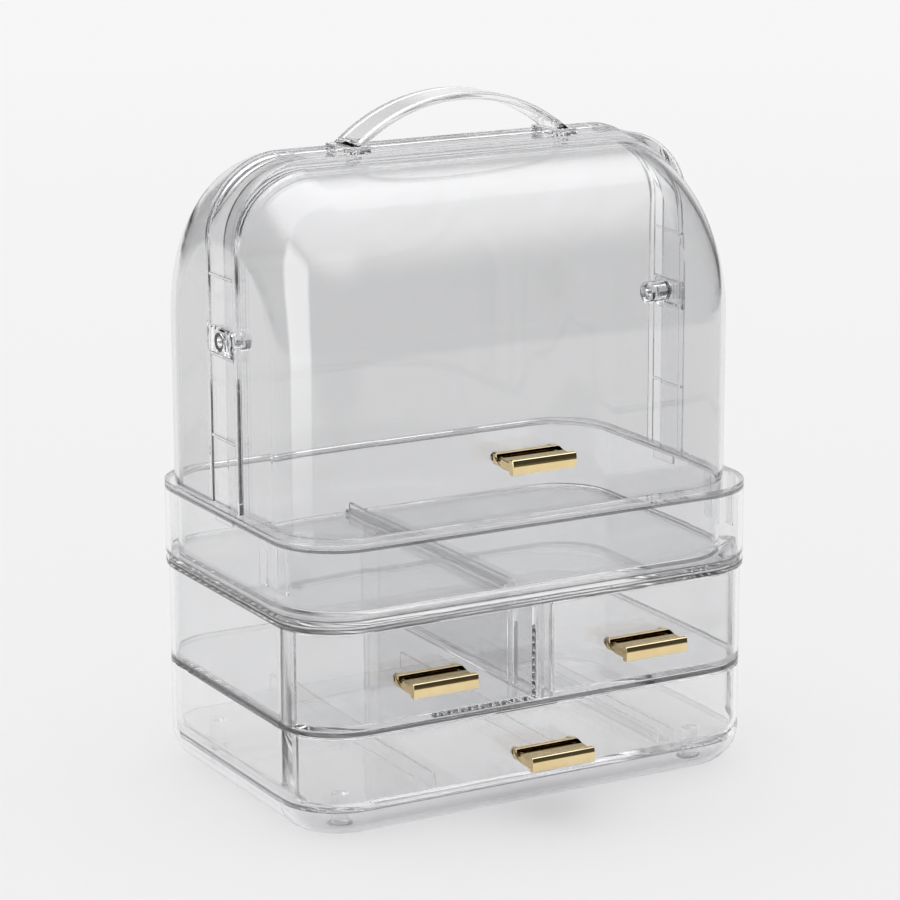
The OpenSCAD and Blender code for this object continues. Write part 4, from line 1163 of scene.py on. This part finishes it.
def pull_section():
    """The pull seen from the side, anticlockwise: X is the distance out from the wall, Y the height. The
    bar's face bulges a little, and the slot lies between the tread and the ridge at the wall."""
    top, (back, front, floor) = PULL_TOP, SLOT
    corners = [(0, -1.8), (8, -1.8), (9, -2.4), (BAR, -2.4), (BAR, -top), (20.5, -top), (21, -2.2), (20.9, 1.2),
               (20.2, top), (BAR, top), (BAR, 2.4), (front, 2.75), (front, floor), (back, floor), (back, top),
               (0, top)]
    radii = [0.3, 0.4, 0.4, 0.5, 1.0, 0.9, 6.0, 9.0, 0.7, 0.9] + [0.3] * 6
    return filleted(corners, radii, 5, closed=True)


print("pull's section:", len(pull_section()[0]), "points")


# %% Shape the gold pulls
def pull_mesh(name, x, wall_y, z):
    """The side view carried along X. At both ends it is drawn in by EDGE times 1 less the sine of t while
    it goes EDGE times 1 less the cosine from the end, a quarter circle. The slot's points carry the
    attribute recess, how much painted shade darkens the slot, which is 0 at the ends."""
    p, d = pull_section()
    n = right_of(d)
    t = np.radians(np.linspace(0, 90, 6))
    half = np.append(stacked(EDGE * (1 - np.cos(t)) - PULL_HALF, -EDGE * (1 - np.sin(t)), -np.cos(t)),
                     [(EDGE + 0.5 - PULL_HALF, 0, 0)], 0)
    x_row, g, nx = np.append(half, half[::-1] * np.array([-1, 1, -1]), 0).T[..., None]
    side, flat = p + g[..., None] * n, np.sqrt(1 - nx ** 2)
    points = stacked(x_row, -side[..., 0], side[..., 1]) + (x, wall_y + SHIFT_Y, z)
    normals = stacked(nx, -n[:, 0] * flat, n[:, 1] * flat)
    deep = np.zeros(len(p))
    deep[SLOT_POINTS] = SLOT_DEPTHS
    recess = np.where(np.abs(x_row) < PULL_HALF - EDGE - 0.1, deep, 0.0)
    mesh = surface(name, points[:, ::-1], normals[:, ::-1])
    return mark_points(mesh, "recess", recess[:, ::-1].ravel())


for node, x, wall_y, z, body in (("bottom_pull", 0, -96, 33.6, "bottom_drawer_body"),
                                 ("left_pull", -70, -96, 85.0, "left_drawer_body"),
                                 ("right_pull", 57, -96, 85.0, "right_drawer_body"),
                                 ("lid_pull", -8, -89, 192.4, "lid_body")):
    fitted(pull_mesh(node + "_cast", x, wall_y, z), body, [node], "gold_metal", GOLD)

# %% [markdown]
# ## How far the light goes
# A ray through this cabinet crosses dozens of walls and bounces inside them, and each bounce that is
# cut short turns black. The limits are set high enough for the light to get out. Caustics are left
# off, because a faint shade through the walls looks the same here and renders without speckles.

# %% Render settings that belong to clear plastic
BOUNCES, SEE_THROUGH = 160, 64
scene.view_settings.view_transform = "Standard"
for kind in ("max_bounces", "transmission_bounces", "glossy_bounces"):
    setattr(scene.cycles, kind, BOUNCES)
scene.cycles.transparent_max_bounces = SEE_THROUGH
scene.cycles.caustics_reflective = scene.cycles.caustics_refractive = False
print("light goes on for", BOUNCES, "bounces")
